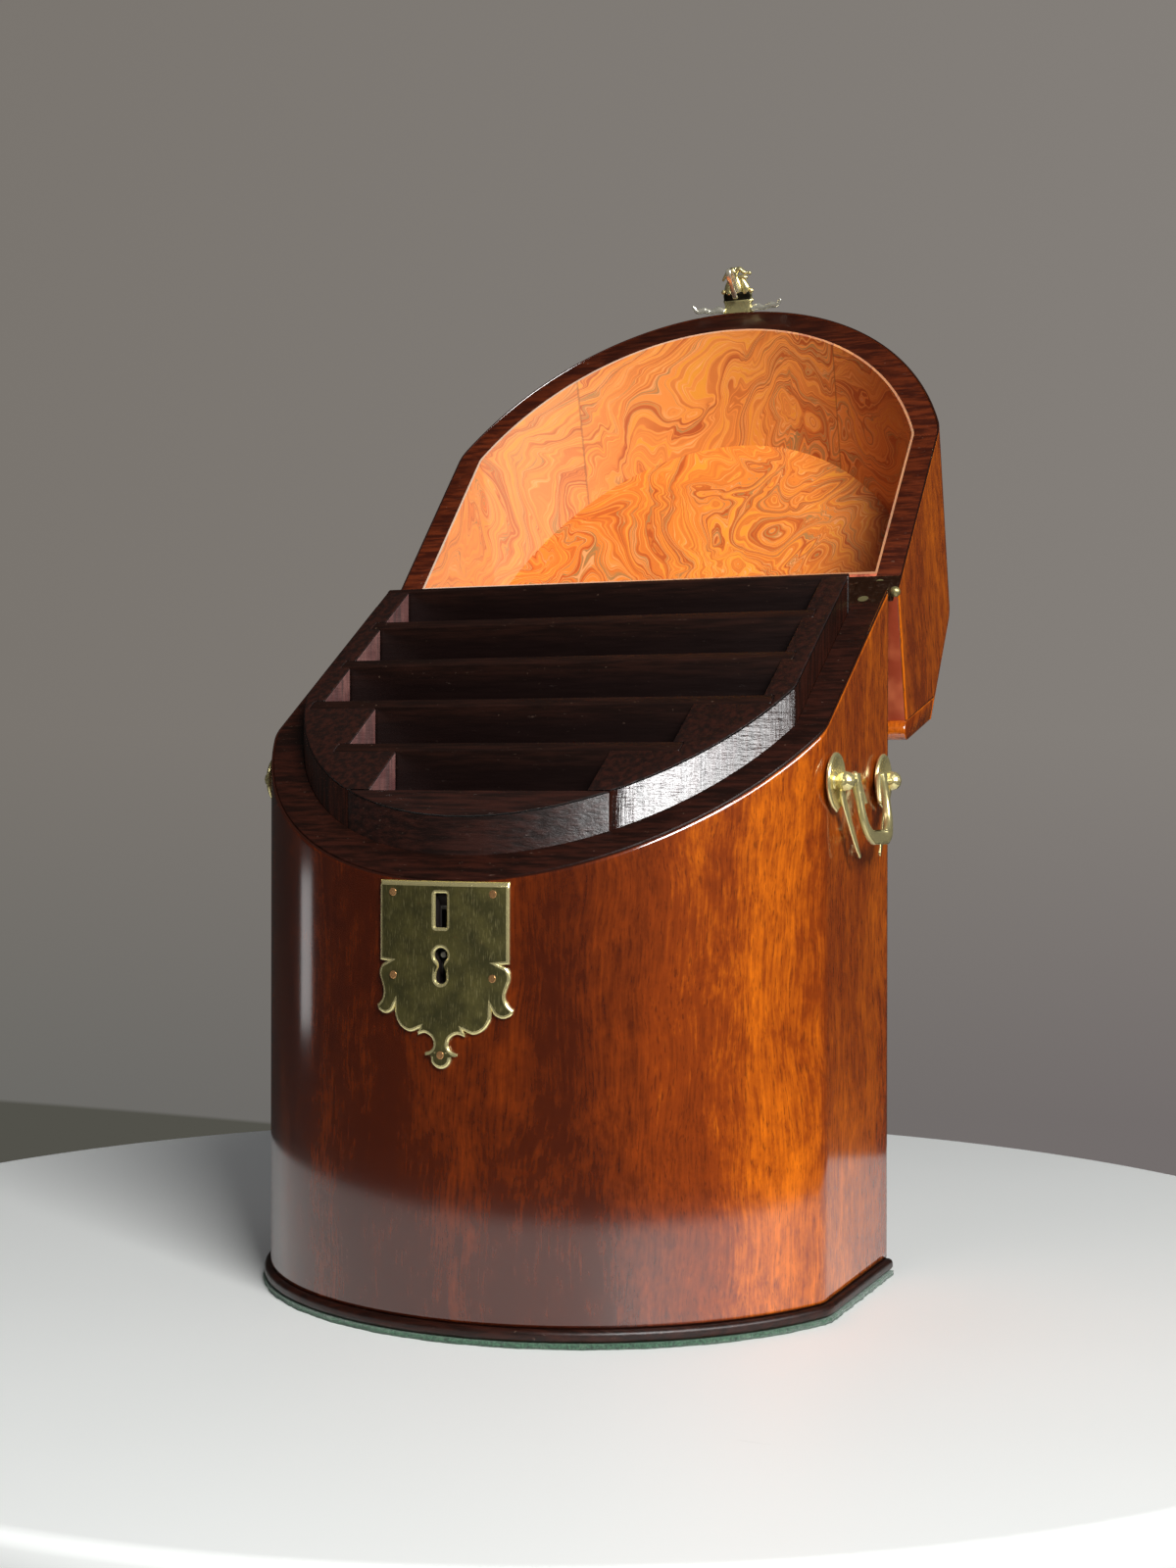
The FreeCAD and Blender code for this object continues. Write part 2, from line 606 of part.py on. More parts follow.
between_sides = "body_width - 2*veneer - 2*wall"
back_block = box("back_block", between_sides, "back_board", "2*body_width",
                 place(-wall_inner_x, back_y - SIZE["back_board"], foot_z))
node(cut("back_board_cut", back_block, [above_facing_seat] + leaf_beds + body_screws), "back_board")

facing_ring = plan_ring("facing", "veneer", "0", "rack_setback - rack_gap",
                        "rack_back_setback - rack_gap", "2*body_width", foot_z)
facing = cut("facing_cut", shared("facing_band", facing_ring, above_facing_seat),
             [above_rim] + leaf_beds + body_screws)
node(facing, "rim_facing")

bottom = plan_prism("bottom", "veneer + wall", "back_board", "bottom_board", SIZE["baize"])
node(bottom, "bottom_board")
baize_pad = plan_prism("baize_pad", "0 - baize_projection", "0", "baize", 0)
node(baize_pad, "baize")

bead = plan_prism("bead", "0 - bead_projection", "0", "bead_height", SIZE["baize"])
doc.recompute()
bead_pad = bead.Tip
bead_edges = []
for number, edge in enumerate(bead_pad.Shape.Edges, start=1):
    flat = edge.BoundBox.ZLength < 0.01
    if flat and edge.BoundBox.YMin < back_y - 0.1:
        bead_edges.append("Edge%d" % number)
bead_fillet = bead.newObject("PartDesign::Fillet", "bead_fillet")
bead_fillet.Base = (bead_pad, bead_edges)
bind(bead_fillet, "Radius", "bead_round")
bead_hole = plan_prism("bead_hole", "veneer + wall", "back_board", "2*bead_height",
                       SIZE["baize"] - SIZE["bead_height"] / 2)
node(cut("bead_cut", bead, [bead_hole]), "base_bead")

# ---- rack of knife slots -----------------------------------------------------
rack_low_z = rack_floor_z - SIZE["rack_floor"]
node(plan_prism("rack_base", "rack_setback", "rack_back_setback", "rack_floor", rack_low_z), "rack_floor")
bearer_height = "bead_height + rack_floor_height - rack_floor - bottom_board"
for word, side in LEFT_RIGHT:
    bearer = box("bearer_" + word, "bearer_thickness", "bearer_length", bearer_height,
                 place(side * SIZE["bearer_spread"] / 2 - SIZE["bearer_thickness"] / 2,
                       -SIZE["bearer_length"] / 2 + SIZE["wall"],
                       SIZE["baize"] + SIZE["bottom_board"]))
    node(bearer, "rack_bearer_" + word)

rack_block = cut("rack_block", plan_prism("rack", "rack_setback", "rack_back_setback",
                                          "2*body_width", rack_floor_z), [above_rack])
SLOT_LENGTHS = ["rear_slot_length", "rear_slot_length", "rear_slot_length",
                "fourth_slot_length", "fifth_slot_length"]
slot_back_y = back_y - SIZE["rack_back_setback"] - SIZE["rack_back"]
rack_back_slab = slab("rack_back_slab", slot_back_y, "rack_back")
node(shared("rack_back_cut", rack_block, rack_back_slab), "rack_back_board")

cheek_tools = []
slots = []
y = slot_back_y
for number, length in enumerate(SLOT_LENGTHS, start=1):
    y -= SIZE["slot_width"]
    slot = box("slot_%d" % number, length, "slot_width", "2*body_width",
               place(-SIZE[length] / 2, y, rack_floor_z))
    cheek_tools.append(slot)
    slots.append((y, SIZE[length]))
    if number == len(SLOT_LENGTHS):
        break
    y -= SIZE["partition"]
    housing = "%s + partition + partition" % length
    board = box("partition_block_%d" % number, housing, "partition", "2*body_width",
                place(-amount(housing) / 2, y, rack_floor_z))
    node(shared("partition_cut_%d" % number, rack_block, board), "rack_partition_%d" % number)
    cheek_tools.append(board)
front_block_slab = slab("front_block_slab", y - SIZE["body_depth"], "body_depth")
node(shared("front_block_cut", rack_block, front_block_slab), "rack_front_block")
cheek_slab = box("cheek_slab", "2*body_width",
                 "5*slot_width + 4*partition", "4*body_width",
                 place(-SIZE["body_width"], y, -SIZE["cut_margin"]))
for word, half in (("left", left_half), ("right", right_half)):
    half_block = shared("cheek_half_" + word, shared("cheek_blank_" + word, rack_block, cheek_slab), half)
    node(cut("cheek_" + word, half_block, cheek_tools), "rack_cheek_" + word)

# ---- lid ----------------------------------------------------------------------
for word, region, bed in (("left", rear_left, lid_leaf_beds[0]), ("right", rear_right, lid_leaf_beds[1])):
    blank = shared("lid_side_over_" + word, shared("lid_side_blank_" + word, wall_ring, region), above_gap)
    node(cut("lid_side_" + word, blank, LID_TRIM + [bed] + lid_screws), "lid_side_board_" + word, True)
lid_back_block = box("lid_back_block", between_sides, "lid_back", "2*body_width",
                     place(-wall_inner_x, back_y - SIZE["lid_back"], foot_z))
node(cut("lid_back_cut", shared("lid_back_over", lid_back_block, above_gap),
         [above_flat_walls] + lid_leaf_beds + lid_screws), "lid_back_board", True)

slope_plan = plan_prism("slope_plan", "veneer", "0", "2*body_width", foot_z)
node(cut("slope_board", shared("slope_board_over", slope_plan, above_slope_walls),
         [above_slope_board, above_flat_walls]), "lid_slope_board", True)
skin_plan = plan_prism("skin_plan", "0", "0", "2*body_width", foot_z)
node(cut("slope_skin", shared("slope_skin_over", skin_plan, above_slope_board),
         [above_lid, above_top]), "lid_slope_veneer", True)

top_body = new_body("top")
top_sketch = new_sketch(top_body, "top_section", "YZ_Plane")
nose = SIZE["lid_board"] / 2
nose_y = back_y + SIZE["top_overhang"] - nose
front_edge = -SIZE["body_depth"] / 2
top_sketch.addGeometry([
    Part.LineSegment(vector(front_edge, 0, 0), vector(nose_y, 0, 0)),
    Part.ArcOfCircle(Part.Circle(vector(nose_y, nose, 0), Z_AXIS, nose), -math.pi / 2, math.pi / 2),
    Part.LineSegment(vector(nose_y, 2 * nose, 0), vector(front_edge, 2 * nose, 0)),
    Part.LineSegment(vector(front_edge, 2 * nose, 0), vector(front_edge, 0, 0)),
], False)
link = Sketcher.Constraint
top_sketch.addConstraint([
    link("Tangent", 0, 2, 1, 1),
    link("Tangent", 1, 2, 2, 1),
    link("Coincident", 2, 2, 3, 1),
    link("Coincident", 3, 2, 0, 1),
    link("Horizontal", 0),
    link("Vertical", 3),
    link("PointOnObject", 0, 1, -1),
])
size_rule(top_sketch, link("Radius", 1, nose), "nose", "0.5*lid_board")
size_rule(top_sketch, link("DistanceX", 0, 1, -1, 1, -front_edge), "front", "0.5*body_depth")
size_rule(top_sketch, link("DistanceX", -1, 1, 1, 3, nose_y), "nose_place",
          "0.5*body_depth + top_overhang - 0.5*lid_board")
top_pad = top_body.newObject("PartDesign::Pad", "top_pad")
top_pad.Profile = top_sketch
top_pad.Midplane = True
bind(top_pad, "Length", "body_width")
top_body.Placement = place(0, 0, flat_under_z)
node(cut("top_board", top_body, [above_slope_board]), "lid_top_board", True)

liner_ring = plan_ring("liner", "veneer + wall", "lid_back", "veneer + wall + liner",
                       "lid_back + liner", "2*body_width", foot_z)
node(cut("wall_liner", shared("wall_liner_over", liner_ring, above_gap), LID_TRIM), "lid_wall_liner", True)
panel_plan = plan_prism("panel_plan", "veneer + wall + liner", "lid_back + liner", "2*body_width", foot_z)
hollow = cut("lid_hollow", slab("hollow_slab", -SIZE["body_depth"], "2*body_depth"),
             [above_slope_liner, above_flat_liner])
node(cut("panel_liner", panel_plan, LID_TRIM + [hollow]), "lid_panel_liner", True)

# ---- lock ----------------------------------------------------------------------
case_block = box("case_block", "lock_width", "lock_depth", "lock_height",
                 place(-SIZE["lock_width"] / 2, lock_y, lock_low_z))
case_room = box("case_room", "lock_width - 2*lock_sheet", "wall", "lock_height - 2*lock_sheet",
                place(-SIZE["lock_width"] / 2 + SIZE["lock_sheet"], lock_y + SIZE["lock_sheet"],
                      lock_low_z + SIZE["lock_sheet"]))
eye_run = (SIZE["staple_reach"] / staple_run) - SIZE["eye_size"] / 2 - SIZE["lock_sheet"]
eye_y = front_y + eye_run * staple_run
eye_z = staple_z + eye_run * math.sin(staple_angle)
tip_x = SIZE["staple_width"] / 2 + SIZE["bolt_rest"]
bolt_x = tip_x + SIZE["bolt_travel"]
bolt_y = eye_y - SIZE["bolt_thickness"] / 2
guide_length = SIZE["lock_width"] / 2 - SIZE["lock_sheet"] - bolt_x
guides = []
for number, z in enumerate((eye_z + SIZE["bolt_height"] / 2 + SIZE["bolt_play"],
                            eye_z - SIZE["bolt_height"] / 2 - SIZE["bolt_play"] - SIZE["lock_sheet"])):
    guides.append(box("bolt_guide_%d" % number, "0.3*lock_width", "lock_depth - lock_sheet", "lock_sheet",
                      place(SIZE["lock_width"] * 0.2 - SIZE["lock_sheet"], lock_y + SIZE["lock_sheet"], z)))
case_shell = joined("case_shell", [cut("case_walls", case_block, [case_room])] + guides)

LOCK_CORNERS = [(sx, sz) for sx in (-1, 1) for sz in (-1, 1)]
lock_screws = []
for number, (sx, sz) in enumerate(LOCK_CORNERS):
    seat = place(sx * (SIZE["lock_width"] / 2 - 2.5 * SIZE["lock_sheet"]),
                 lock_back_y + SIZE["lock_sheet"],
                 (lock_top_z + lock_low_z) / 2 + sz * (SIZE["lock_height"] / 2 - 2.5 * SIZE["lock_sheet"]),
                 X_AXIS, 90)
    head = cylinder("lock_screw_head_%d" % number, "1.6*nail_radius", "0.7*lock_sheet",
                    seat * place(0, 0, -0.7 * SIZE["lock_sheet"]))
    shank = cylinder("lock_screw_shank_%d" % number, "nail_radius",
                     "lock_depth + 1.8*lock_sheet", seat)
    lock_screws.append(joined("lock_screw_%d" % number, [shank, head]))
node(group("lock_screw_group", lock_screws), "lock_screws")
node(cut("case_cut", case_shell, [staple_way, keyhole] + lock_screws), "lock_case")
cap = box("cap", "lock_width", "lock_sheet", "lock_height",
          place(-SIZE["lock_width"] / 2, lock_back_y, lock_low_z))
node(cut("cap_cut", cap, lock_screws), "lock_cap")
key_post = cylinder("key_post", "key_post_radius", "lock_setback + lock_depth - veneer",
                    place(0, front_y + SIZE["veneer"], key_z, X_AXIS, -90))
node(key_post, "lock_key_post")
bolt_block = box("bolt_block", "bolt_length", "bolt_thickness", "bolt_height",
                 place(bolt_x, bolt_y, eye_z - SIZE["bolt_height"] / 2))
bolt_tip = box("bolt_tip", "bolt_travel + bolt_tip", "bolt_tip", "bolt_tip",
               place(tip_x, eye_y - SIZE["bolt_tip"] / 2, eye_z - SIZE["bolt_tip"] / 2))
node(joined("bolt", [bolt_block, bolt_tip]), "lock_bolt")

# ---- lock plate on the bow -----------------------------------------------------
def disc(name, radius, x, z):
    """A round lobe of a plate, seen from the front."""
    return cylinder(name, radius, "2*wall", place(x, front_y + SIZE["wall"], z, X_AXIS, 90))


def front_box(name, width, height, x, z):
    return box(name, width, "2*wall", height, place(x, front_y - SIZE["wall"], z))


plate_top_z = rim_front_z - SIZE["rack_gap"]
plate_low_z = plate_top_z - SIZE["plate_square"]
half_plate = SIZE["plate_width"] / 2
lobes = [
    front_box("plate_square_part", "plate_width", "plate_square", -half_plate, plate_low_z),
    front_box("plate_waist", "0.93*plate_width", "0.28*plate_width",
              -0.465 * SIZE["plate_width"], plate_low_z - 0.28 * SIZE["plate_width"]),
    disc("plate_heart", "0.34*plate_width", 0, plate_low_z - 0.15 * SIZE["plate_width"]),
    front_box("plate_neck", "0.14*plate_width", "0.5*plate_width",
              -0.07 * SIZE["plate_width"], plate_low_z - 0.62 * SIZE["plate_width"]),
    disc("plate_drop", "0.07*plate_width", 0, plate_low_z - 0.65 * SIZE["plate_width"]),
]
for sign in (-1, 1):
    word = "left" if sign < 0 else "right"
    lobes.append(disc("plate_ear_" + word, "0.1*plate_width", sign * 0.41 * SIZE["plate_width"],
                      plate_low_z - 0.09 * SIZE["plate_width"]))
    lobes.append(disc("plate_scroll_" + word, "0.085*plate_width", sign * 0.43 * SIZE["plate_width"],
                      plate_low_z - 0.3 * SIZE["plate_width"]))
    lobes.append(disc("plate_lower_lobe_" + word, "0.15*plate_width", sign * 0.19 * SIZE["plate_width"],
                      plate_low_z - 0.33 * SIZE["plate_width"]))
PLATE_NAILS = [(-0.39, 0.478), (0.39, 0.478), (-0.386, -0.106), (0.386, -0.106), (0, -0.65)]


def nail(name, x, z):
    """Brass nail with a low round head; it goes straight back into the wood."""
    bulge = SIZE["front_radius"] - math.sqrt(SIZE["front_radius"] ** 2 - x * x)
    start = front_y + bulge - SIZE["plate"]
    shank = cylinder(name + "_shank", "nail_radius", "nail_depth", place(x, start, z, X_AXIS, -90))
    head = cylinder(name + "_head", "nail_head", "0.5*nail_radius",
                    place(x, start - 0.4 * SIZE["nail_radius"], z, X_AXIS, -90))
    return joined(name, [shank, head])


plate_nails = [nail("plate_nail_%d" % number, share * SIZE["plate_width"],
                    plate_low_z + rise * SIZE["plate_width"])
               for number, (share, rise) in enumerate(PLATE_NAILS)]
plate_blank = shared("lock_plate_blank", joined("plate_outline", lobes), plate_ring)
node(cut("lock_plate", plate_blank, [above_rim, staple_way, keyhole] + plate_nails), "escutcheon")
node(group("plate_nail_group", plate_nails), "escutcheon_nails")

# ---- thumb lift and staple on the lid --------------------------------------------
lid_plate_z = rim_front_z + 2 * SIZE["veneer"]
lid_plate_low = front_box("lid_plate_low", "lid_plate_width", "0.5*lid_plate_height",
                          -SIZE["lid_plate_width"] / 2, lid_plate_z)
lid_plate_high = disc("lid_plate_high", "0.5*lid_plate_height", 0,
                      lid_plate_z + SIZE["lid_plate_height"] / 2)
lid_nails = [nail("lid_nail_%d" % number, share * SIZE["lid_plate_width"],
                  lid_plate_z + rise * SIZE["lid_plate_height"])
             for number, (share, rise) in enumerate([(-0.4, 0.25), (0.4, 0.25), (0, 0.75)])]
lid_plate = shared("lid_plate_blank", joined("lid_plate_outline", [lid_plate_low, lid_plate_high]), plate_ring)
node(cut("lid_plate", lid_plate, lid_nails), "lift_plate", True)
lift_back_y = front_y - SIZE["plate"] - SIZE["lift_standoff"]
tongue = box("tongue", "lift_width", "lift_thickness", "lift_drop + lift_rise - 0.5*lift_width",
             place(-SIZE["lift_width"] / 2, lift_back_y - SIZE["lift_thickness"],
                   rim_front_z - SIZE["lift_drop"] + SIZE["lift_width"] / 2))
tongue_end = cylinder("tongue_end", "0.5*lift_width", "lift_thickness",
                      place(0, lift_back_y, rim_front_z - SIZE["lift_drop"] + SIZE["lift_width"] / 2,
                            X_AXIS, 90))
tongue_foot = box("tongue_foot", "lift_width", "2*lift_standoff + 0.5*plate", "lift_rise - 2*veneer",
                  place(-SIZE["lift_width"] / 2, lift_back_y - SIZE["lift_standoff"], lid_plate_z))
lift_solid = joined("lift_solid", [tongue, tongue_end])
foot = cut("lift_foot", tongue_foot, [lid_plate])
node(joined("lift", [lift_solid, foot]), "thumb_lift", True)
tip_run = SIZE["staple_reach"] / staple_run
bar = box("staple_bar", "staple_width", "staple_length", "staple_height",
          STAPLE * place(-SIZE["staple_width"] / 2, tip_run - SIZE["staple_length"],
                         -SIZE["staple_height"] / 2))
eye = box("staple_eye", "2*staple_width", "eye_size", "eye_size",
          STAPLE * place(-SIZE["staple_width"], eye_run - SIZE["eye_size"] / 2, -SIZE["eye_size"] / 2))
node(cut("staple_cut", bar, [lift_solid, foot, eye]), "staple", True)
node(group("lid_nail_group", lid_nails), "lift_nails", True)

# ---- boards and veneer that the lock, plates and nails go through ------------------
node(cut("bow_board", shared("bow_board_blank", wall_ring, bow_zone),
         [above_facing_seat, lock_pocket, staple_way, keyhole] + plate_nails + lock_screws), "bow_front_board")
node(cut("body_skin", veneer_ring, [above_rim, staple_way, keyhole] + plate_nails
         + post_shanks["left"] + post_shanks["right"]), "body_veneer")
node(cut("lid_bow", shared("lid_bow_over", shared("lid_bow_blank", wall_ring, bow_zone), above_gap),
         LID_TRIM + lid_nails), "lid_bow_board", True)
node(cut("lid_skin", shared("lid_skin_over", veneer_ring, above_gap),
         [above_slope_board, above_flat_walls] + lid_nails), "lid_veneer", True)

# ---- handles at the sides ----------------------------------------------------------
def draw_bail(sketch):
    """Centre line of the drop handle between its two balls."""
    width = amount("post_spacing - 2*post_ball - 2*ball_clearance")
    run = SIZE["neck_run"]
    upper = SIZE["neck_bend"]
    lower = SIZE["bail_bend"]
    drop = SIZE["bail_drop"]
    leg = run + upper
    turn = math.pi / 2

    def line(x1, z1, x2, z2):
        return Part.LineSegment(vector(x1, z1, 0), vector(x2, z2, 0))

    def arc(x, z, radius, start, end):
        return Part.ArcOfCircle(Part.Circle(vector(x, z, 0), Z_AXIS, radius), start, end)

    sketch.addGeometry([
        line(0, 0, run, 0),
        arc(run, -upper, upper, 0, turn),
        line(leg, -upper, leg, lower - drop),
        arc(leg + lower, lower - drop, lower, math.pi, 3 * turn),
        line(leg + lower, -drop, width - leg - lower, -drop),
        arc(width - leg - lower, lower - drop, lower, -turn, 0),
        line(width - leg, lower - drop, width - leg, -upper),
        arc(width - run, -upper, upper, turn, math.pi),
        line(width - run, 0, width, 0),
    ], False)
    rule = Sketcher.Constraint
    sketch.addConstraint([
        rule("Coincident", 0, 1, -1, 1),
        rule("Tangent", 0, 2, 1, 2),
        rule("Tangent", 1, 1, 2, 1),
        rule("Tangent", 2, 2, 3, 1),
        rule("Tangent", 3, 2, 4, 1),
        rule("Tangent", 4, 2, 5, 1),
        rule("Tangent", 5, 2, 6, 1),
        rule("Tangent", 6, 2, 7, 2),
        rule("Tangent", 7, 1, 8, 1),
        rule("Horizontal", 0),
        rule("Vertical", 2),
        rule("Horizontal", 4),
        rule("Vertical", 6),
        rule("Horizontal", 8),
        rule("PointOnObject", 8, 2, -1),
        rule("Equal", 1, 7),
        rule("Equal", 3, 5),
        rule("Equal", 0, 8),
    ])
    size_rule(sketch, rule("Radius", 1, upper), "upper", "neck_bend")
    size_rule(sketch, rule("Radius", 3, lower), "lower", "bail_bend")
    size_rule(sketch, rule("DistanceX", 0, 1, 0, 2, run), "run", "neck_run")
    size_rule(sketch, rule("DistanceX", 0, 1, 8, 2, width), "width",
              "post_spacing - 2*post_ball - 2*ball_clearance")
    size_rule(sketch, rule("DistanceY", 4, 1, 0, 1, drop), "drop", "bail_drop")


for word, side in LEFT_RIGHT:
    ball_x = side * (half_width + SIZE["post_reach"])
    dishes = []
    posts = []
    for number, y in enumerate(POST_Y):
        tag = "%s_%d" % (word, number)
        outwards = place(side * half_width, y, post_z, Y_AXIS, 90 * side)
        dish = doc.addObject("Part::Cone", "dish_" + tag)
        bind(dish, "Radius1", "0.45*rosette_radius")
        bind(dish, "Radius2", "rosette_radius")
        bind(dish, "Height", "rosette_rise")
        dish.Placement = outwards
        scoop = doc.addObject("Part::Cone", "scoop_" + tag)
        bind(scoop, "Radius1", "0.35*rosette_radius")
        bind(scoop, "Radius2", "0.9*rosette_radius")
        bind(scoop, "Height", "rosette_rise")
        scoop.Placement = outwards * place(0, 0, SIZE["rosette_sheet"])
        dishes.append(cut("rosette_" + tag, dish, [scoop, post_shanks[word][number]]))
        nut_start = side_start(side, wall_inner_x - SIZE["nut_height"], SIZE["nut_height"])
        nut = cylinder("nut_" + tag, "nut_radius", "nut_height", along_x(nut_start, y, post_z))
        ball = sphere("ball_" + tag, "post_ball", place(ball_x, y, post_z))
        inward = -1 if number else 1
        socket = cylinder("socket_" + tag, "pivot_radius + pin_clearance", "2*post_ball",
                          place(ball_x, y, post_z, X_AXIS, -90 * inward))
        spur = doc.addObject("Part::Cone", "spur_" + tag)
        bind(spur, "Radius1", "spur_root")
        bind(spur, "Radius2", "spur_tip")
        bind(spur, "Height", "spur_length")
        spur_fall = math.sqrt(SIZE["spur_length"] ** 2 - SIZE["spur_reach"] ** 2 - SIZE["spur_lean"] ** 2)
        heading = vector(side * SIZE["spur_lean"], inward * SIZE["spur_reach"], -spur_fall)
        spur.Placement = FreeCAD.Placement(vector(side * (half_width + SIZE["spur_start"]), y, post_z),
                                           FreeCAD.Rotation(Z_AXIS, heading))
        solids = [post_shanks[word][number], nut, ball, spur]
        posts.append(cut("post_" + tag, joined("post_solids_" + tag, solids), [socket]))
    node(group("rosette_group_" + word, dishes), "handle_rosettes_" + word)
    node(group("post_group_" + word, posts), "handle_posts_" + word)

    bail = new_body("bail_" + word)
    path = new_sketch(bail, "bail_path_" + word, "YZ_Plane")
    draw_bail(path)
    profile = new_sketch(bail, "bail_profile_" + word, "XZ_Plane")
    profile.addGeometry(Part.Circle(vector(0, 0, 0), Z_AXIS, SIZE["bail_radius"]), False)
    profile.addConstraint(Sketcher.Constraint("Coincident", 0, 3, -1, 1))
    size_rule(profile, Sketcher.Constraint("Radius", 0, SIZE["bail_radius"]), "rod", "bail_radius")
    doc.recompute()
    pipe = bail.newObject("PartDesign::AdditivePipe", "bail_pipe_" + word)
    pipe.Profile = profile
    pipe.Spine = (path, [])
    bail.Placement = place(ball_x, POST_Y[0] + SIZE["post_ball"] + SIZE["ball_clearance"], post_z,
                           Y_AXIS, -side * SIZE["bail_tilt"])
    stubs = []
    for number, y in enumerate(POST_Y):
        inward = -1 if number else 1
        stubs.append(cylinder("pivot_%s_%d" % (word, number), "pivot_radius", "post_ball + neck_run",
                              place(ball_x, y + inward * SIZE["ball_clearance"], post_z,
                                    X_AXIS, -90 * inward)))
    node(joined("bail_solid_" + word, [bail] + stubs), "bail_" + word)

# ---- check and export ----------------------------------------------------------
doc.recompute()
os.makedirs("parts", exist_ok=True)
problems = []
for item in doc.Objects:
    if "Invalid" in item.State or "Error" in item.State:
        problems.append("%s: %s" % (item.Name, ", ".join(item.State)))
for item in NODES:
    shape = item.Shape
    if shape.isNull() or not shape.isValid() or not shape.Solids:
        problems.append(item.Label + ": no sound solid")
if problems:
    raise RuntimeError("; ".join(problems))
for item in NODES:
    item.Shape.exportStep("parts/%s.step" % item.Label)
    print("%-24s solids %d  volume %.1f mm3" % (item.Label, len(item.Shape.Solids), item.Shape.Volume))
print("nodes", len(NODES))
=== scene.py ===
import json
import math
from contextlib import contextmanager

import bmesh
import bpy
import numpy as np
from bpy.props import FloatProperty, FloatVectorProperty, PointerProperty
from mathutils import Matrix, Vector


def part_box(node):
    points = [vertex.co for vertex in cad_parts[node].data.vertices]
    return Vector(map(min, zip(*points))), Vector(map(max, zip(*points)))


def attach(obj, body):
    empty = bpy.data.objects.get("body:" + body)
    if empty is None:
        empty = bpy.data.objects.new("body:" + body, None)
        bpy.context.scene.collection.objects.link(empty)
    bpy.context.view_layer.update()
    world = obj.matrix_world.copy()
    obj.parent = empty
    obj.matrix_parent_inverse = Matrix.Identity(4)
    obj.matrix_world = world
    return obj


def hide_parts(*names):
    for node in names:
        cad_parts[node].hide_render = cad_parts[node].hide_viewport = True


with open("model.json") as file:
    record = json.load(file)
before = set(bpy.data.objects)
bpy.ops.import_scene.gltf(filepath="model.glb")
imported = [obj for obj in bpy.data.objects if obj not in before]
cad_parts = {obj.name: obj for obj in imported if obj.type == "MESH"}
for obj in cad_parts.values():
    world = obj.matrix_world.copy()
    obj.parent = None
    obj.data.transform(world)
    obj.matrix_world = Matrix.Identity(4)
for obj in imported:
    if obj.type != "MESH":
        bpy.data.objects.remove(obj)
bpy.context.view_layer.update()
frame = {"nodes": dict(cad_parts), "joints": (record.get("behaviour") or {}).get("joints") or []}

bl_info = {
    "name": "Bow-fronted knife box",
    "version": (1, 0, 0),
    "blender": (4, 5, 0),
    "location": "View3D > Sidebar > Knife Box",
    "description": "Dresses the packed knife box with its finishes, brass fittings and stage",
    "category": "Object",
}


# ---------------- places and measures
def corners(node):
    low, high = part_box(node)
    return np.array(low), np.array(high)


MM = 0.001
SKIN_LOW, SKIN_HIGH = corners("body_veneer")
FRONT_Y = SKIN_LOW[1]
BOW_RADIUS = 123.65 * MM
CORNER_RADIUS = 17.5 * MM
RIM_Z = 160.5 * MM
RIM_SLOPE = (SKIN_HIGH[2] - RIM_Z) / (SKIN_HIGH[1] - SKIN_LOW[1])
RACK_LIFT = 14 * MM  # how far the rack's sloping top stands above the rim
VENEER = 0.78 * MM
JOINTS = {joint["name"]: joint for joint in frame["joints"]}
PIN_Y, PIN_Z = JOINTS["lid_hinge"]["pos_m"][1:]
OPENING = math.radians(166)
LID_GAP = 0.31 * MM
LID_FRONT_Z = 224.4 * MM
LID_TOP_Z = 325.3 * MM
LID_SLOPE = 0.879
LID_SLANT = math.radians(48.7)  # the slanted top against the upright walls
SHEET_SEAMS = (-0.070, 0.054)  # where the lid's paper is joined, along x
RELIEF = 0.5 * MM  # what a height of 1 in a bump stands for


def put(item, **values):
    """Sets several properties of an item."""
    for key, value in values.items():
        setattr(item, key, value)
    return item


# ---------------- shader maths
def operator(operation, swapped=False):
    """A method that adds a Math node; swapped is for a number that stands before the socket."""
    def method(self, *other):
        values = (self, *other)
        return self.math(operation, values[::-1] if swapped else values)
    return method


class Socket:
    """A node's output with Python's operators, so a mask is written as a sum or a product."""

    def __init__(self, maker, link):
        self.maker, self.link = maker, link

    def math(self, operation, values, clamp=False):
        return self.maker.node("Math", {"operation": operation, "use_clamp": clamp}, values)

    __add__, __radd__ = operator("ADD"), operator("ADD", True)
    __sub__, __rsub__ = operator("SUBTRACT"), operator("SUBTRACT", True)
    __mul__, __gt__, __abs__ = operator("MULTIPLY"), operator("GREATER_THAN"), operator("ABSOLUTE")

    def clamped(self):
        return self.math("MULTIPLY", (self, 1), clamp=True)

    def smooth(self, low, high):
        """Runs smoothly from 0 at low to 1 at high."""
        return self.maker.node("MapRange", {"interpolation_type": "SMOOTHSTEP"},
                               {"Value": self, "From Min": low, "From Max": high})


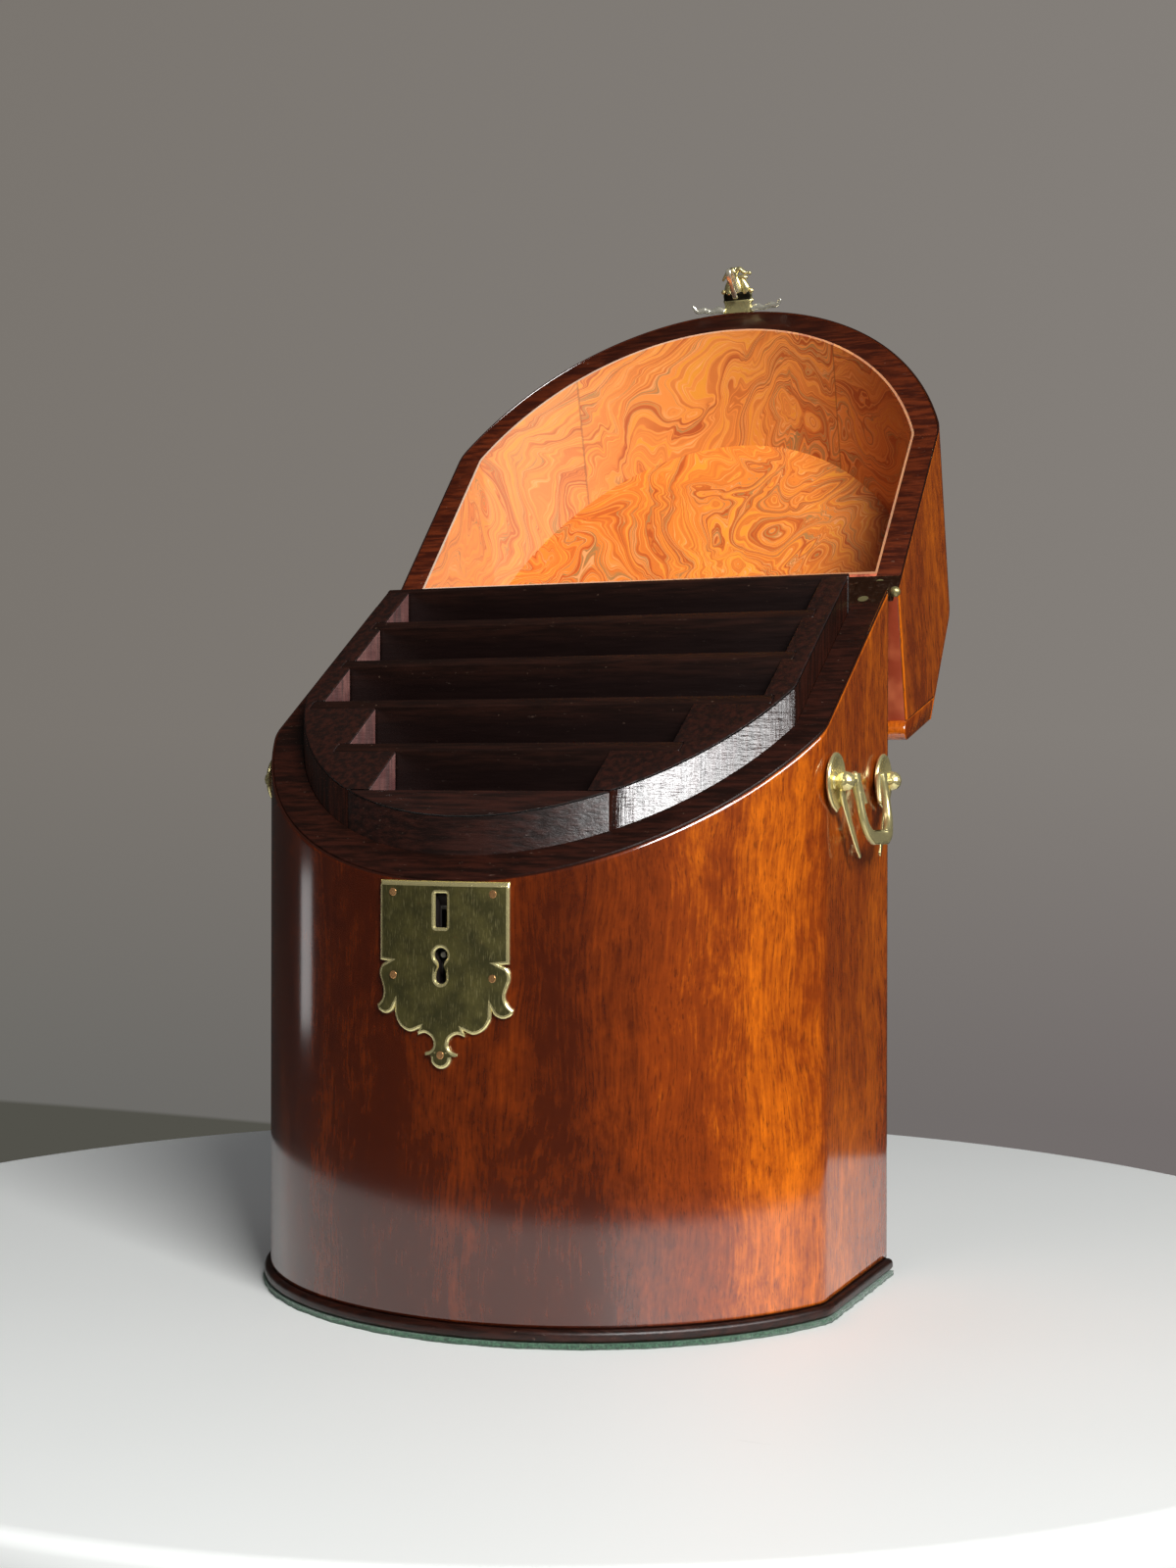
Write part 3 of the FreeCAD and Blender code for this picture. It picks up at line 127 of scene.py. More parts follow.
class Look:
    """The nodes of one material, or of the world."""

    def __init__(self, name, library="materials"):
        self.owner = getattr(bpy.data, library).new(name)
        self.owner.use_nodes = True
        self.tree = self.owner.node_tree
        self.tree.nodes.clear()
        self.place = self.node("TexCoord", output="Object")

    def node(self, kind, settings=None, values=(), output=0):
        """Adds a node: its settings first, then its sockets' values or links."""
        item = put(self.tree.nodes.new("ShaderNode" + kind), **(settings or {}))
        for key, value in values.items() if isinstance(values, dict) else enumerate(values):
            if isinstance(value, Socket):
                self.tree.links.new(value.link, item.inputs[key])
            else:
                item.inputs[key].default_value = value
        return Socket(self, item.outputs[output]) if item.outputs else None

    def mapped(self, scale=(1, 1, 1), turn=(0, 0, 0), shift=(0, 0, 0), source=None):
        return self.node("Mapping", {}, {"Vector": source or self.place, "Scale": scale,
                                         "Rotation": turn, "Location": shift})

    def noise(self, scale, detail, rough, at=None, output="Fac"):
        return self.node("TexNoise", {}, {"Vector": at or self.place, "Scale": scale,
                                          "Detail": detail, "Roughness": rough}, output)

    def grain(self, scale, detail, rough, **how):
        """Noise with a scale for each axis, so that it draws out into streaks along the lowest."""
        return self.noise(1, detail, rough, self.mapped(scale, **how))

    def mix(self, factor, first, second):
        """Mixes two colours; 6 and 7 are the colour sockets of the Mix node."""
        pair = [value if isinstance(value, Socket) else (*tuple(value)[:3], 1) for value in (first, second)]
        return self.node("Mix", {"data_type": "RGBA"}, {0: factor, 6: pair[0], 7: pair[1]}, 2)

    def layers(self, colour, *coats):
        """Lays coats, each its share and its colour, over a colour."""
        for share, coat in coats:
            colour = self.mix(share, colour, coat)
        return colour

    def axis(self, number, source=None):
        return self.node("SeparateXYZ", {}, [source or self.place], number)

    def facing(self, number, turn=0):
        """How much the surface looks along an axis of the closed box; turn is the lid's opening."""
        normal = self.node("TexCoord", output="Normal")
        return self.axis(number, self.mapped(turn=(turn, 0, 0), source=normal) if turn else normal)

    def shade(self, colour, rough, height=None, strength=0, distance=RELIEF, **inputs):
        """Principled surface, with a bump; other keyword names are its sockets with underscores."""
        values = {"Base Color": colour, "Roughness": rough}
        values.update((key.replace("_", " "), value) for key, value in inputs.items())
        if height:
            values["Normal"] = self.node("Bump", {}, {"Strength": strength, "Distance": distance,
                                                      "Height": height})
        self.node("OutputMaterial", {}, [self.node("BsdfPrincipled", {}, values)])
        return self.owner


def srgb(*seen):
    """A colour as seen (0 to 255) as the linear numbers that a shader takes."""
    return tuple(value / 12.92 if value <= 0.04045 else ((value + 0.055) / 1.055) ** 2.4
                 for value in (level / 255 for level in seen))


# ---------------- settings shown in the panel
def tint(name, description, seen):
    return FloatVectorProperty(name=name, description=description, default=srgb(*seen), subtype="COLOR",
                               size=3, min=0, max=1)


def length(name, description, millimetres):
    return FloatProperty(name=name, description=description, default=millimetres * MM, min=0,
                         subtype="DISTANCE", unit="LENGTH")


def watts(name, description, value):
    return FloatProperty(name=name, description=description, default=value, min=0, unit="POWER")


class WoodSettings(bpy.types.PropertyGroup):
    """Colours and edge wear of the wooden pieces."""

    light: tint("Bright figure", "Bright streaks of the polished mahogany", (220, 110, 8))
    middle: tint("Ground", "Main colour of the polished mahogany", (136, 54, 6))
    dark: tint("Dark figure", "Dark streaks of the polished mahogany", (66, 20, 3))
    ebony: tint("Blackened wood", "Rim facing, rack and bead", (24, 9, 5))
    stain: tint("Red stain", "Bare back boards and slot walls", (104, 34, 26))
    wear: length("Edge wear", "Rounding of the handled edges", 0.5)


class FittingSettings(bpy.types.PropertyGroup):
    """Brass fittings."""

    patina: tint("Patina", "Dull brass on flat faces", (106, 99, 55))
    bright: tint("Bright brass", "Rubbed edges and knobs", (236, 222, 160))
    plate_bevel: length("Plate bevel", "Filed edge of the lock plate", 1.15)
    plate_thickness: length("Plate thickness", "Metal of the lock plate", 1.55)


class LiningSettings(bpy.types.PropertyGroup):
    """Marbled paper and baize."""

    paper: tint("Paper", "Main colour of the marbled paper", (244, 148, 64))
    paper_dark: tint("Paper veins", "Rust veins of the marbled paper", (176, 70, 26))
    paper_gold: tint("Paper ochre", "Ochre trails of the marbled paper", (244, 160, 48))
    paper_green: tint("Paper green", "Grey-green touches of the marbled paper", (132, 122, 78))
    swirl: length("Swirl size", "Size of the paper's combed swirls", 30)
    baize: tint("Baize", "Green cloth under the base", (76, 124, 92))
    fray: length("Fray", "How far the cloth's cut edge wanders", 0.9)


class StageSettings(bpy.types.PropertyGroup):
    """Table, backdrop and lamps."""

    table_radius: length("Table radius", "Round table top", 359)
    key_power: watts("Key lamp", "Power of the wide window on the right", 97)
    side_power: watts("Side lamp", "Power of the window straight to the right", 22)
    fill_power: watts("Fill lamp", "Power of the narrow far window on the left", 0.14)
    room: FloatProperty(name="Room light", description="Strength of the light from all round", default=0.175,
                        min=0, subtype="FACTOR")


# ---------------- making meshes
def placed(name, data):
    """A new object in the scene."""
    item = bpy.data.objects.new(name, data)
    bpy.context.scene.collection.objects.link(item)
    return item


@contextmanager
def reshaped(mesh, doubles):
    """Opens a mesh, merges points closer than doubles, and writes back what is done to it."""
    shape = bmesh.new()
    shape.from_mesh(mesh)
    bmesh.ops.remove_doubles(shape, verts=shape.verts, dist=doubles)
    yield shape
    shape.to_mesh(mesh)
    shape.free()


def mesh_object(name, vertices, faces, material, rub=None):
    """Puts arrays of points (in metres) and faces into a new object at the origin.
    rub is how bright each point's metal is worn, 0 to 1."""
    mesh = bpy.data.meshes.new(name)
    mesh.from_pydata(np.asarray(vertices, float).tolist(), [], [tuple(map(int, face)) for face in faces])
    mesh.update()
    if rub is not None:
        worn = mesh.attributes.new("rub", "FLOAT", "POINT")
        worn.data.foreach_set("value", np.asarray(rub, float).ravel())
    mesh.shade_smooth()
    mesh.materials.append(material)
    return placed(name, mesh)


def grid_faces(rows, columns, wrap_columns=False):
    """Quads of a grid of rows x columns points, joined round along the rows when asked."""
    i, j = np.meshgrid(np.arange(rows - 1), np.arange(columns - (not wrap_columns)), indexing="ij")
    k, m = i + 1, (j + 1) % columns
    quads = np.stack([i * columns + j, k * columns + j, k * columns + m, i * columns + m], -1)
    return quads.reshape(-1, 4)


def outward(item):
    """Turns the faces outwards on a closed surface."""
    with reshaped(item.data, 1e-7) as shape:
        bmesh.ops.recalc_face_normals(shape, faces=shape.faces)
    return item


def values_of(items, key, width, kind=float):
    """One value of every point or face, as the rows of an array."""
    values = np.empty(len(items) * width, kind)
    items.foreach_get(key, values)
    return values.reshape(-1, width)


def points_of(item):
    return values_of(item.data.vertices, "co", 3)


def move_points(item, places):
    item.data.vertices.foreach_set("co", np.ascontiguousarray(places, float).ravel())
    item.data.update()
    return item


def gathered(name, items):
    """Several new meshes as one object."""
    items = list(items)
    shape = bmesh.new()
    for item in items:
        shape.from_mesh(item.data)
    whole = mesh_object(name, [], [], items[0].data.materials[0])
    shape.to_mesh(whole.data)
    shape.free()
    for mesh in [item.data for item in items]:
        bpy.data.meshes.remove(mesh)
    return whole


def turned(name, profile, centre, axis, material, sides=40, rub=0):
    """A turned piece: each point (radius, height) of the profile, in millimetres, is carried round
    an axis of the frame, at centre + height * axis + radius * (cos t * u + sin t * v)."""
    axis = np.array(axis, float)
    u = np.cross((0, 0, 1) if abs(axis[2]) < 0.9 else (1, 0, 0), axis)
    v = np.cross(axis, u)
    turn = np.linspace(0, 2 * np.pi, sides, endpoint=False)[:, None]
    profile = np.asarray(profile, float) * MM
    radius, height = profile[:, 0, None, None], profile[:, 1, None, None]
    points = np.asarray(centre) + height * axis + radius * (np.cos(turn) * u + np.sin(turn) * v)
    faces = grid_faces(len(profile), sides, wrap_columns=True)
    worn = np.repeat(np.broadcast_to(rub, len(profile)), sides)
    return outward(mesh_object(name, points.reshape(-1, 3), faces, material, worn))


def smooth_path(points, steps):
    """A Catmull-Rom curve: each span is the cubic whose end slopes are half the step between
    the neighbours on either side."""
    p = np.asarray(points, float)
    p = np.vstack([2 * p[0] - p[1], p, 2 * p[-1] - p[-2]])
    t = np.linspace(0, 1, steps, endpoint=False)[:, None]
    a, b, c, d = (p[k:len(p) - 3 + k, None] for k in range(4))
    curve = 0.5 * (2 * b + (c - a) * t + (2 * a - 5 * b + 4 * c - d) * t ** 2
                   + (3 * b - a - 3 * c + d) * t ** 3)
    return np.vstack([curve.reshape(-1, p.shape[1]), p[-2]])


def band(name, path, widths, depths, across, material, sides=16, power=2, rub=0):
    """A bar carried along a path, with its half widths and half depths in millimetres. Its section
    is the superellipse |a/width|^p + |b/depth|^p = 1, with a along 'across' made square to the path
    and b along their cross product. Its narrow edges are rubbed bright by |cos t|^6."""
    path, across = np.asarray(path, float), np.asarray(across, float)
    count = len(path)
    ahead = np.gradient(path, axis=0)
    ahead /= np.linalg.norm(ahead, axis=1)[:, None]
    side = across - ahead * (ahead @ across)[:, None]
    side /= np.linalg.norm(side, axis=1)[:, None]
    where = np.linspace(0, 1, count)
    wide, deep = (np.interp(where, np.linspace(0, 1, len(half)), half)[:, None, None] * MM
                  for half in (widths, depths))
    turn = np.linspace(0, 2 * np.pi, sides, endpoint=False)
    a, b = ((np.sign(part) * abs(part) ** (2 / power))[:, None] for part in (np.cos(turn), np.sin(turn)))
    points = path[:, None] + wide * a * side[:, None] + deep * b * np.cross(ahead, side)[:, None]
    faces = [tuple(face) for face in grid_faces(count, sides, wrap_columns=True)]
    for middle, start in ((count * sides, 0), (count * sides + 1, (count - 1) * sides)):
        faces += [(middle, start + k, start + (k + 1) % sides) for k in range(sides)]
    worn = np.append(np.tile(abs(np.cos(turn)) ** 6, count), [1, 1]) + rub
    points = np.vstack([points.reshape(-1, 3), path[0], path[-1]])
    return outward(mesh_object(name, points, faces, material, worn))


def cut_plate(name, outlines, thickness, bevel, material, levels=()):
    """A sheet cut to closed outlines (x, z), with filed edges: the outline filled, thickened and
    bevelled, then scored every two millimetres along x so that it can follow a bow, and at some
    levels of z, above the highest of which it is rubbed bright. It comes as (x, z, depth)."""
    flat = put(bpy.data.curves.new(name, "CURVE"), dimensions="2D", fill_mode="BOTH", bevel_resolution=2,
               extrude=thickness / 2 - bevel, bevel_depth=bevel, offset=-bevel)
    for outline in outlines:
        spline = flat.splines.new("POLY")
        spline.points.add(len(outline) - 1)
        spline.points.foreach_set("co", np.pad(outline, ((0, 0), (0, 2))).ravel())
        spline.use_cyclic_u = True
    carrier = placed(name + "_flat", flat)
    bpy.context.view_layer.update()
    mesh = bpy.data.meshes.new_from_object(carrier.evaluated_get(bpy.context.evaluated_depsgraph_get()))
    bpy.data.objects.remove(carrier)
    strip, across = 2 * MM, values_of(mesh.vertices, "co", 3)[:, 0]
    with reshaped(mesh, 1e-6) as shape:
        cuts = [((cut, 0, 0), (1, 0, 0))
                for cut in np.arange(across.min() + strip, across.max() - strip / 4, strip)]
        for place, normal in cuts + [((0, level, 0), (0, 1, 0)) for level in levels]:
            bmesh.ops.bisect_plane(shape, geom=shape.verts[:] + shape.edges[:] + shape.faces[:],
                                   plane_co=place, plane_no=normal)
        bmesh.ops.recalc_face_normals(shape, faces=shape.faces)
    mesh.name = name
    edge = (abs(values_of(mesh.polygons, "normal", 3)[:, 2]) < 0.97).astype(float)
    if levels:
        edge = np.maximum(edge, 0.8 * (values_of(mesh.polygons, "center", 3)[:, 1] > max(levels)))
    worn = mesh.attributes.new("rub", "FLOAT", "CORNER")
    worn.data.foreach_set("value", np.repeat(edge, values_of(mesh.polygons, "loop_total", 1, int)[:, 0]))
    mesh.shade_flat()
    mesh.materials.clear()
    mesh.materials.append(material)
    return placed(name, mesh)


def made(item, body, slot, *nodes):
    """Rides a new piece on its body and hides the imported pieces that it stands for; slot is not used."""
    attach(item, body)
    if nodes:
        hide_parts(*nodes)
    return item


def softened(body, width, material, *nodes, segments=2):
    """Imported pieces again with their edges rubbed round: copied, merged and bevelled."""
    for node in nodes:
        mesh = frame["nodes"][node].data.copy()
        with reshaped(mesh, 2e-6) as shape:
            bmesh.ops.dissolve_limit(shape, angle_limit=math.radians(0.6), verts=shape.verts,
                                     edges=shape.edges)
        mesh.materials.clear()
        mesh.materials.append(material)
        mesh.polygons.foreach_set("material_index", np.zeros(len(mesh.polygons), int))
        mesh.shade_smooth()
        item = placed(node + "_rubbed", mesh)
        put(item.modifiers.new("rubbed edges", "BEVEL"), width=width, segments=segments,
            limit_method="ANGLE", angle_limit=math.radians(30), harden_normals=True, use_clamp_overlap=True)
        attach(item, body)
        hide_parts(node)


def repaint(material, *nodes):
    """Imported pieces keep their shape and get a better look."""
    for node in nodes:
        for slot in frame["nodes"][node].material_slots:
            slot.material = material


# ---------------- finishes
def shifted(look, source, push, amount):
    """source + (push - 0.5) * amount, for a pattern that wanders."""
    centred = look.node("VectorMath", {"operation": "SUBTRACT"}, [push, (0.5,) * 3])
    return look.node("VectorMath", {"operation": "MULTIPLY_ADD"}, [centred, (amount,) * 3, source])


def polished_mahogany(name, wood, turn=0, over_edges=0):
    """Veneer with upright figure: bent streaks, mottle across the grain and dark pores, polished, and
    lighter towards the right of the bow, less so on the faces that look right. Its edges, which face
    up or down on the closed box, are blackened unless over_edges is 1."""
    look = Look(name)
    at = look.mapped(turn=(turn, 0, 0))
    bent = shifted(look, at, look.noise(9, 2, 0.5, at, "Color"), 0.030)
    streaks = look.grain((48, 48, 6.5), 6, 0.62, source=bent)
    flame = look.grain((16, 16, 4.5), 3, 0.55, turn=(0, 0.5, 0), source=bent)
    mottle = look.grain((170, 170, 110), 4, 0.68, source=bent)
    fibre = look.grain((800, 800, 42), 4, 0.6, source=bent)
    pore = look.grain((1500, 1500, 190), 2, 0.5, source=bent).smooth(0.58, 0.68)
    lighter_to_right = look.axis(0, at).smooth(0.035, 0.127) * (1 - look.facing(0).smooth(0.84, 0.995) * 0.30)
    tone = streaks * 0.30 + flame * 0.38 + mottle * 0.24 + fibre * 0.28 + lighter_to_right * 0.37 - 0.28
    edge = abs(look.facing(2, turn)).smooth(0.35, 0.6) * (1 - over_edges)
    colour = look.layers(wood.dark, (tone.smooth(0.26, 0.58), wood.middle),
                         (tone.smooth(0.50, 0.74), wood.light), (pore * 0.5, wood.dark),
                         (edge, srgb(44, 18, 10)))
    ripple = look.noise(70, 2, 0.5)
    dents = look.noise(900, 3, 0.7).smooth(0.70, 0.80)
    height = ripple * 0.5 - pore * 0.10 - dents * 0.25 + fibre * 0.06
    return look.shade(colour, 0.42 + fibre * 0.12, height, 0.22, Specular_IOR_Level=0.04,
                      Coat_Weight=1, Coat_IOR=1.85, Coat_Roughness=0.11)


def blackened_wood(name, wood, along=(45, 520, 520), turn=0, tones=None, slope=0, bare_back=0, painted_slot_shade=0):
    """Dark stained and waxed wood, its open grain running along one axis, with pale scuffs, and pale
    specks that are partly dust and partly painted glints on the wax.
    slope is how far the upright faces lean back, as rise over height, where hands have worn them;
    with bare_back 1 the faces that look backwards on the closed box are bare and reddish, and the
    middle is blacker; with sunk 1 the wood darkens within a centimetre below the rack's sloping top,
    as painted shade deep in the slots."""
    look = Look(name)
    grain = look.grain(along, 6, 0.65, source=look.mapped(turn=(turn, 0, 0)))
    cloud = look.noise(38, 3, 0.6)
    scuffs = look.grain((160, 900, 700), 5, 0.72, turn=(0.2, 0.3, 0.5))
    worn = scuffs.smooth(0.63, 0.72) * cloud.smooth(0.42, 0.62)
    # pale specks: partly dust, partly painted glints of the waxed surface
    dust_and_glints = look.noise(620, 2, 0.5).smooth(0.72, 0.78)
    deep, pale = tones or (wood.ebony, srgb(50, 20, 11))
    colour = look.layers(deep, (grain.smooth(0.38, 0.66), pale),
                         ((worn * 0.35 + dust_and_glints * 0.4).clamped(), srgb(150, 120, 100)))
    height = grain * 0.7 - worn * 0.25 + cloud * 0.6
    if bare_back:
        middle = 1 - abs(look.axis(0)).smooth(0.015, 0.10)
        red = look.mix(cloud.smooth(0.4, 0.62), srgb(150, 62, 36), srgb(196, 104, 66))
        colour = look.layers(colour, (middle * 0.7, wood.ebony),
                             (look.facing(1, turn).smooth(0.75, 0.92) * bare_back, red))
    # painted shade: the wood darkens deep in the slots, below the rack's sloping top
    if painted_slot_shade:
        depth = (look.axis(1) - FRONT_Y) * RIM_SLOPE - look.axis(2) + RIM_Z + RACK_LIFT
        colour = look.mix(depth.smooth(0.0008, 0.009) * painted_slot_shade, colour, srgb(17, 6, 5))
    if slope:
        upright = 1 - abs(look.facing(2)).smooth(0.2, 0.5)
        height = height - look.axis(2) * upright * (slope / RELIEF)
    return look.shade(colour, 0.30 + grain * 0.14 + worn * 0.15, height, 1 if slope else 0.45,
                      Specular_IOR_Level=0.8 if slope else 0.36)


def bare_stained(name, wood, along=(380, 380, 24), turn=0, tones=None):
    """Unpolished board with a thin red stain."""
    look = Look(name)
    grain = look.grain(along, 6, 0.6, source=look.mapped(turn=(turn, 0, 0)))
    patches = look.noise(26, 4, 0.6)
    deep, pale = tones or (srgb(70, 24, 16), wood.stain)
    colour = look.layers(deep, (grain.smooth(0.36, 0.64), pale),
                         (patches.smooth(0.45, 0.75) * 0.5, pale if tones else srgb(134, 66, 46)))
    return look.shade(colour, 0.62 + patches * 0.2, grain, 0.4, Specular_IOR_Level=0.4)


def slot_walls(name, wood, side):
    """Rack cheeks: blackened on top and outside, greyish red where the wood inside the slots is bare,
    on the faces that look along +x (side 1) or -x (side -1)."""
    look = Look(name)
    grain = look.grain((420, 420, 40), 6, 0.65)
    cloud = look.noise(60, 4, 0.6)
    bare = (look.facing(0) * side).smooth(0.80, 0.92)
    dark = look.mix(grain.smooth(0.38, 0.66), wood.ebony, srgb(50, 20, 11))
    red = look.layers(srgb(84, 32, 28), (cloud.smooth(0.35, 0.7), srgb(128, 80, 72)),
                      (grain.smooth(0.42, 0.66) * 0.75, srgb(52, 22, 18)))
    upright = 1 - abs(look.facing(2)).smooth(0.2, 0.5)
    outside = upright * (1 - look.facing(1).smooth(0.1, 0.3)) * (1 - bare)
    streaky = look.grain((60, 60, 500), 4, 0.6)
    height = grain * 0.5 + streaky * 0.7 + cloud * 0.5 - look.axis(2) * outside * (0.2 / RELIEF)
    rough = 0.36 + bare * 0.27 - outside * 0.22 + streaky * outside * 0.12
    return look.shade(look.mix(bare, dark, red), rough, height, 1, Specular_IOR_Level=0.78)


def marbled_paper(name, lining, turn=0, cut_edge_and_highlight=0, warmth=0, seams=()):
    """Old marbled paper: streaks that four noises stir, so that they run in combed swirls. Where
    trimmed is 1, the cut edge of the paper on faces that look up or down on the closed box is pale,
    partly its own colour and partly a painted highlight, and dims towards the right as painted shade.
    The whole paper darkens towards the right as painted shade, and the seamed paper is lighter
    towards the left as painted light.
    Each seam is the x where one sheet ends and another, with its own swirls, begins."""
    look = Look(name)
    size, x = lining.swirl, look.axis(0)
    stirred, joint = look.place, 0
    for seam in seams:
        other = look.node("CombineXYZ", {}, [(x > seam) * jump for jump in (0.21, 0.37, 0.11)])
        stirred = look.node("VectorMath", {"operation": "ADD"}, [stirred, other])
        joint = joint + abs(x - seam).smooth(0.0006, 0.0002)
    for pitch, pull in ((0.36, 3), (0.8, 1.3), (1.5, 0.62), (2.8, 0.24)):
        stir = look.noise(pitch / size, 1, 0.5, stirred, "Color")
        stirred = shifted(look, stirred, stir, pull * size)
    drawn = look.mapped(turn=(0.6, 0.35, 0.5), source=stirred)
    trail = look.grain((0.4 / size, 34 / size, 0.4 / size), 2, 0.6, source=drawn)
    second = look.grain((0.3 / size, 6 / size, 0.3 / size), 1, 0.5, shift=(0.3, 0.1, 0.2), source=drawn)
    rust = trail.smooth(0.46, 0.60) * (0.30 + second.smooth(0.42, 0.58) * 0.70)
    ochre = trail.smooth(0.50, 0.38) * second.smooth(0.58, 0.40)
    green = (1 - abs(trail - 0.47) * 22).clamped() * second.smooth(0.50, 0.57)
    pale = (1 - abs(trail - 0.43) * 60).clamped()
    age = look.noise(14, 4, 0.6)
    colour = look.mix(warmth, lining.paper, srgb(232, 124, 34)) if warmth else lining.paper
    coats = [(rust * 0.8, lining.paper_dark), (ochre * 0.85, lining.paper_gold),
             (green * 0.8, lining.paper_green), (pale * 0.5, srgb(255, 196, 140)),
             # painted shade: the paper darkens towards the right
             (x.smooth(0.03, 0.10) * 0.55, srgb(112, 54, 28))]
    if seams:
        # darker seams, then painted light: the seamed paper is lighter towards the left
        coats += [(joint * 0.45, srgb(120, 66, 34)), (x.smooth(-0.04, -0.11) * 0.22, srgb(255, 206, 160))]
    # pale cut edge, partly a painted highlight, dimmed towards the right as painted shade
    edge = abs(look.facing(2, turn)).smooth(0.6, 0.9) * (1 - x.smooth(-0.09, 0.06) * 0.75)
    coats += [(age.smooth(0.55, 0.85) * 0.25, srgb(176, 104, 52)), (edge * cut_edge_and_highlight, srgb(216, 190, 168))]
    height = look.noise(420, 4, 0.6) + age * 0.6
    return look.shade(look.layers(colour, *coats), 0.55 + age * 0.1, height, 0.25, 0.4 * MM,
                      Specular_IOR_Level=0.35)


def aged_brass(name, fitting, polish_and_highlight=0, bright=None):
    """Cast and sheet brass: an olive patina with stains and fine scratches, bright where it is rubbed
    and as far as polish lifts the whole piece, which at 1 is a painted highlight, and black with grime
    where rub is well below 0."""
    look = Look(name)
    rub = look.node("Attribute", {"attribute_name": "rub"}, output=2)
    stain = look.noise(110, 5, 0.62)
    spots = look.noise(520, 4, 0.7)
    first = look.grain((3200, 900, 260), 3, 0.6, turn=(0, 0.55, 0))
    other = look.grain((2600, 900, 220), 3, 0.6, turn=(0, -0.8, 0))
    scratch = first.smooth(0.58, 0.68) + other.smooth(0.60, 0.70)
    # polish lifts the whole piece towards bright brass; at 1 this is a painted highlight
    shine = (rub + polish_and_highlight).clamped()
    grime = (0 - rub - polish_and_highlight).clamped()
    colour = look.layers(srgb(74, 71, 42), (stain.smooth(0.30, 0.70), fitting.patina),
                         (spots.smooth(0.62, 0.78) * 0.5, srgb(120, 88, 56)),
                         (scratch.clamped() * 0.5, srgb(176, 164, 112)),
                         (shine, bright or fitting.bright), (grime, srgb(26, 21, 9)))
    height = spots * 0.3 - scratch * 0.15 + stain * 0.4
    return look.shade(colour, 0.36 + stain * 0.12 - shine * 0.18, height, 0.35, 0.3 * MM,
                      Metallic=0.66 + shine * 0.10)


def dull_steel(name, clean=srgb(150, 148, 144)):
    """Lock and screws: grey metal with brown spots."""
    look = Look(name)
    rust = look.noise(420, 5, 0.65)
    colour = look.mix(rust.smooth(0.5, 0.7), clean, srgb(96, 74, 60))
    return look.shade(colour, 0.38 + rust * 0.25, rust, 0.3, 0.3 * MM, Metallic=0.9)


def pine_board(name):
    """Hidden softwood under the rack."""
    look = Look(name)
    rings = look.grain((14, 160, 160), 4, 0.55)
    colour = look.mix(rings.smooth(0.4, 0.62), srgb(196, 158, 106), srgb(150, 104, 60))
    return look.shade(colour, 0.6 + rings * 0.15, rings, 0.3)


def felted_wool(name, lining):
    """Green baize: thick fibres with paler lint."""
    look = Look(name)
    fibre = look.noise(1400, 5, 0.75)
    clump = look.noise(240, 4, 0.6)
    colour = look.layers(srgb(28, 50, 38), (fibre.smooth(0.35, 0.7), lining.baize),
                         (clump.smooth(0.55, 0.8) * 0.6, srgb(122, 148, 122)))
    return look.shade(colour, 0.92 + clump * 0.06, fibre + clump, 0.8, 0.8 * MM, Sheen_Weight=0.4)


# ---------------- lines and outlines
def on_bow(points, out=0):
    """(x, z, depth) to the bow: the point stands depth in front of the veneer's arc, along its radius."""
    x, z, depth = np.moveaxis(np.asarray(points, float), -1, 0)
    angle, reach = np.arcsin(x / BOW_RADIUS), BOW_RADIUS + depth + out
    return np.stack([reach * np.sin(angle), FRONT_Y + BOW_RADIUS - reach * np.cos(angle), z], -1)


def opened(points):
    """Closed lid to open lid: a turn about the hinge pins."""
    x, y, z = np.moveaxis(np.asarray(points, float) - (0, PIN_Y, PIN_Z), -1, 0)
    c, s = math.cos(-OPENING), math.sin(-OPENING)
    return np.stack([x, PIN_Y + y * c - z * s, PIN_Z + y * s + z * c], -1)


def ring(radius, x, z, start, end, count):
    """Arc of a circle as (x, z), from start to end degrees."""
    t = np.radians(np.linspace(start, end, count))
    return np.stack([x + radius * np.cos(t), z + radius * np.sin(t)], -1)


def mirrored(half):
    """Half an outline, from the top middle round to the bottom middle, and its mirror image."""
    half = np.asarray(half, float)
    return np.vstack([half, half[-2:0:-1] * (-1, 1)])


def lock_plate_outline():
    """Half of the pierced plate: straight sides, then a lobe, a hooked scroll, a large lobe, a spike,
    a hollow with a spur and the round drop. Millimetres, measured down from the rim."""
    corner = [(0, -0.1), (25, -0.1), (25, -28.5), (22, -28.8)]
    lobe = smooth_path([(22, -28.8), (24.4, -30.2), (25.4, -33.3), (24.4, -36.6), (23.6, -39.5),
                        (24.4, -42.4), (26.4, -44.4)], 6)
    scroll = smooth_path([(26.4, -44.4), (25.6, -46.3), (22.6, -47.4), (19.9, -46.3), (18.7, -44.5)], 6)
    large = smooth_path([(18.7, -44.5), (18.4, -48), (16.2, -51.4), (12.4, -53.2), (8.6, -52)], 7)
    hollow = smooth_path([(9.2, -54.2), (6.2, -53.4), (3.5, -55), (2.9, -57.6), (4.3, -59.4),
                          (6.6, -60.2)], 5)
    drop = ring(3.9, 0, -61.7, 15, -90, 12)
    return np.vstack([corner, lobe[1:], scroll[1:], large[1:], hollow, drop])


def keyhole_outline():
    """Round head and a waisted tail with a rounded foot, below the rim in millimetres."""
    head = ring(2.5, 0, -25.9, -50, 230, 22)
    tail = smooth_path([(-1.6, -27.8), (-1.5, -29.6), (-1.8, -31.6), (-2, -33.4)], 4)
    foot = ring(2.05, 0, -33.9, 190, 350, 12)
    return np.vstack([head, tail, foot, tail[::-1] * (-1, 1)])


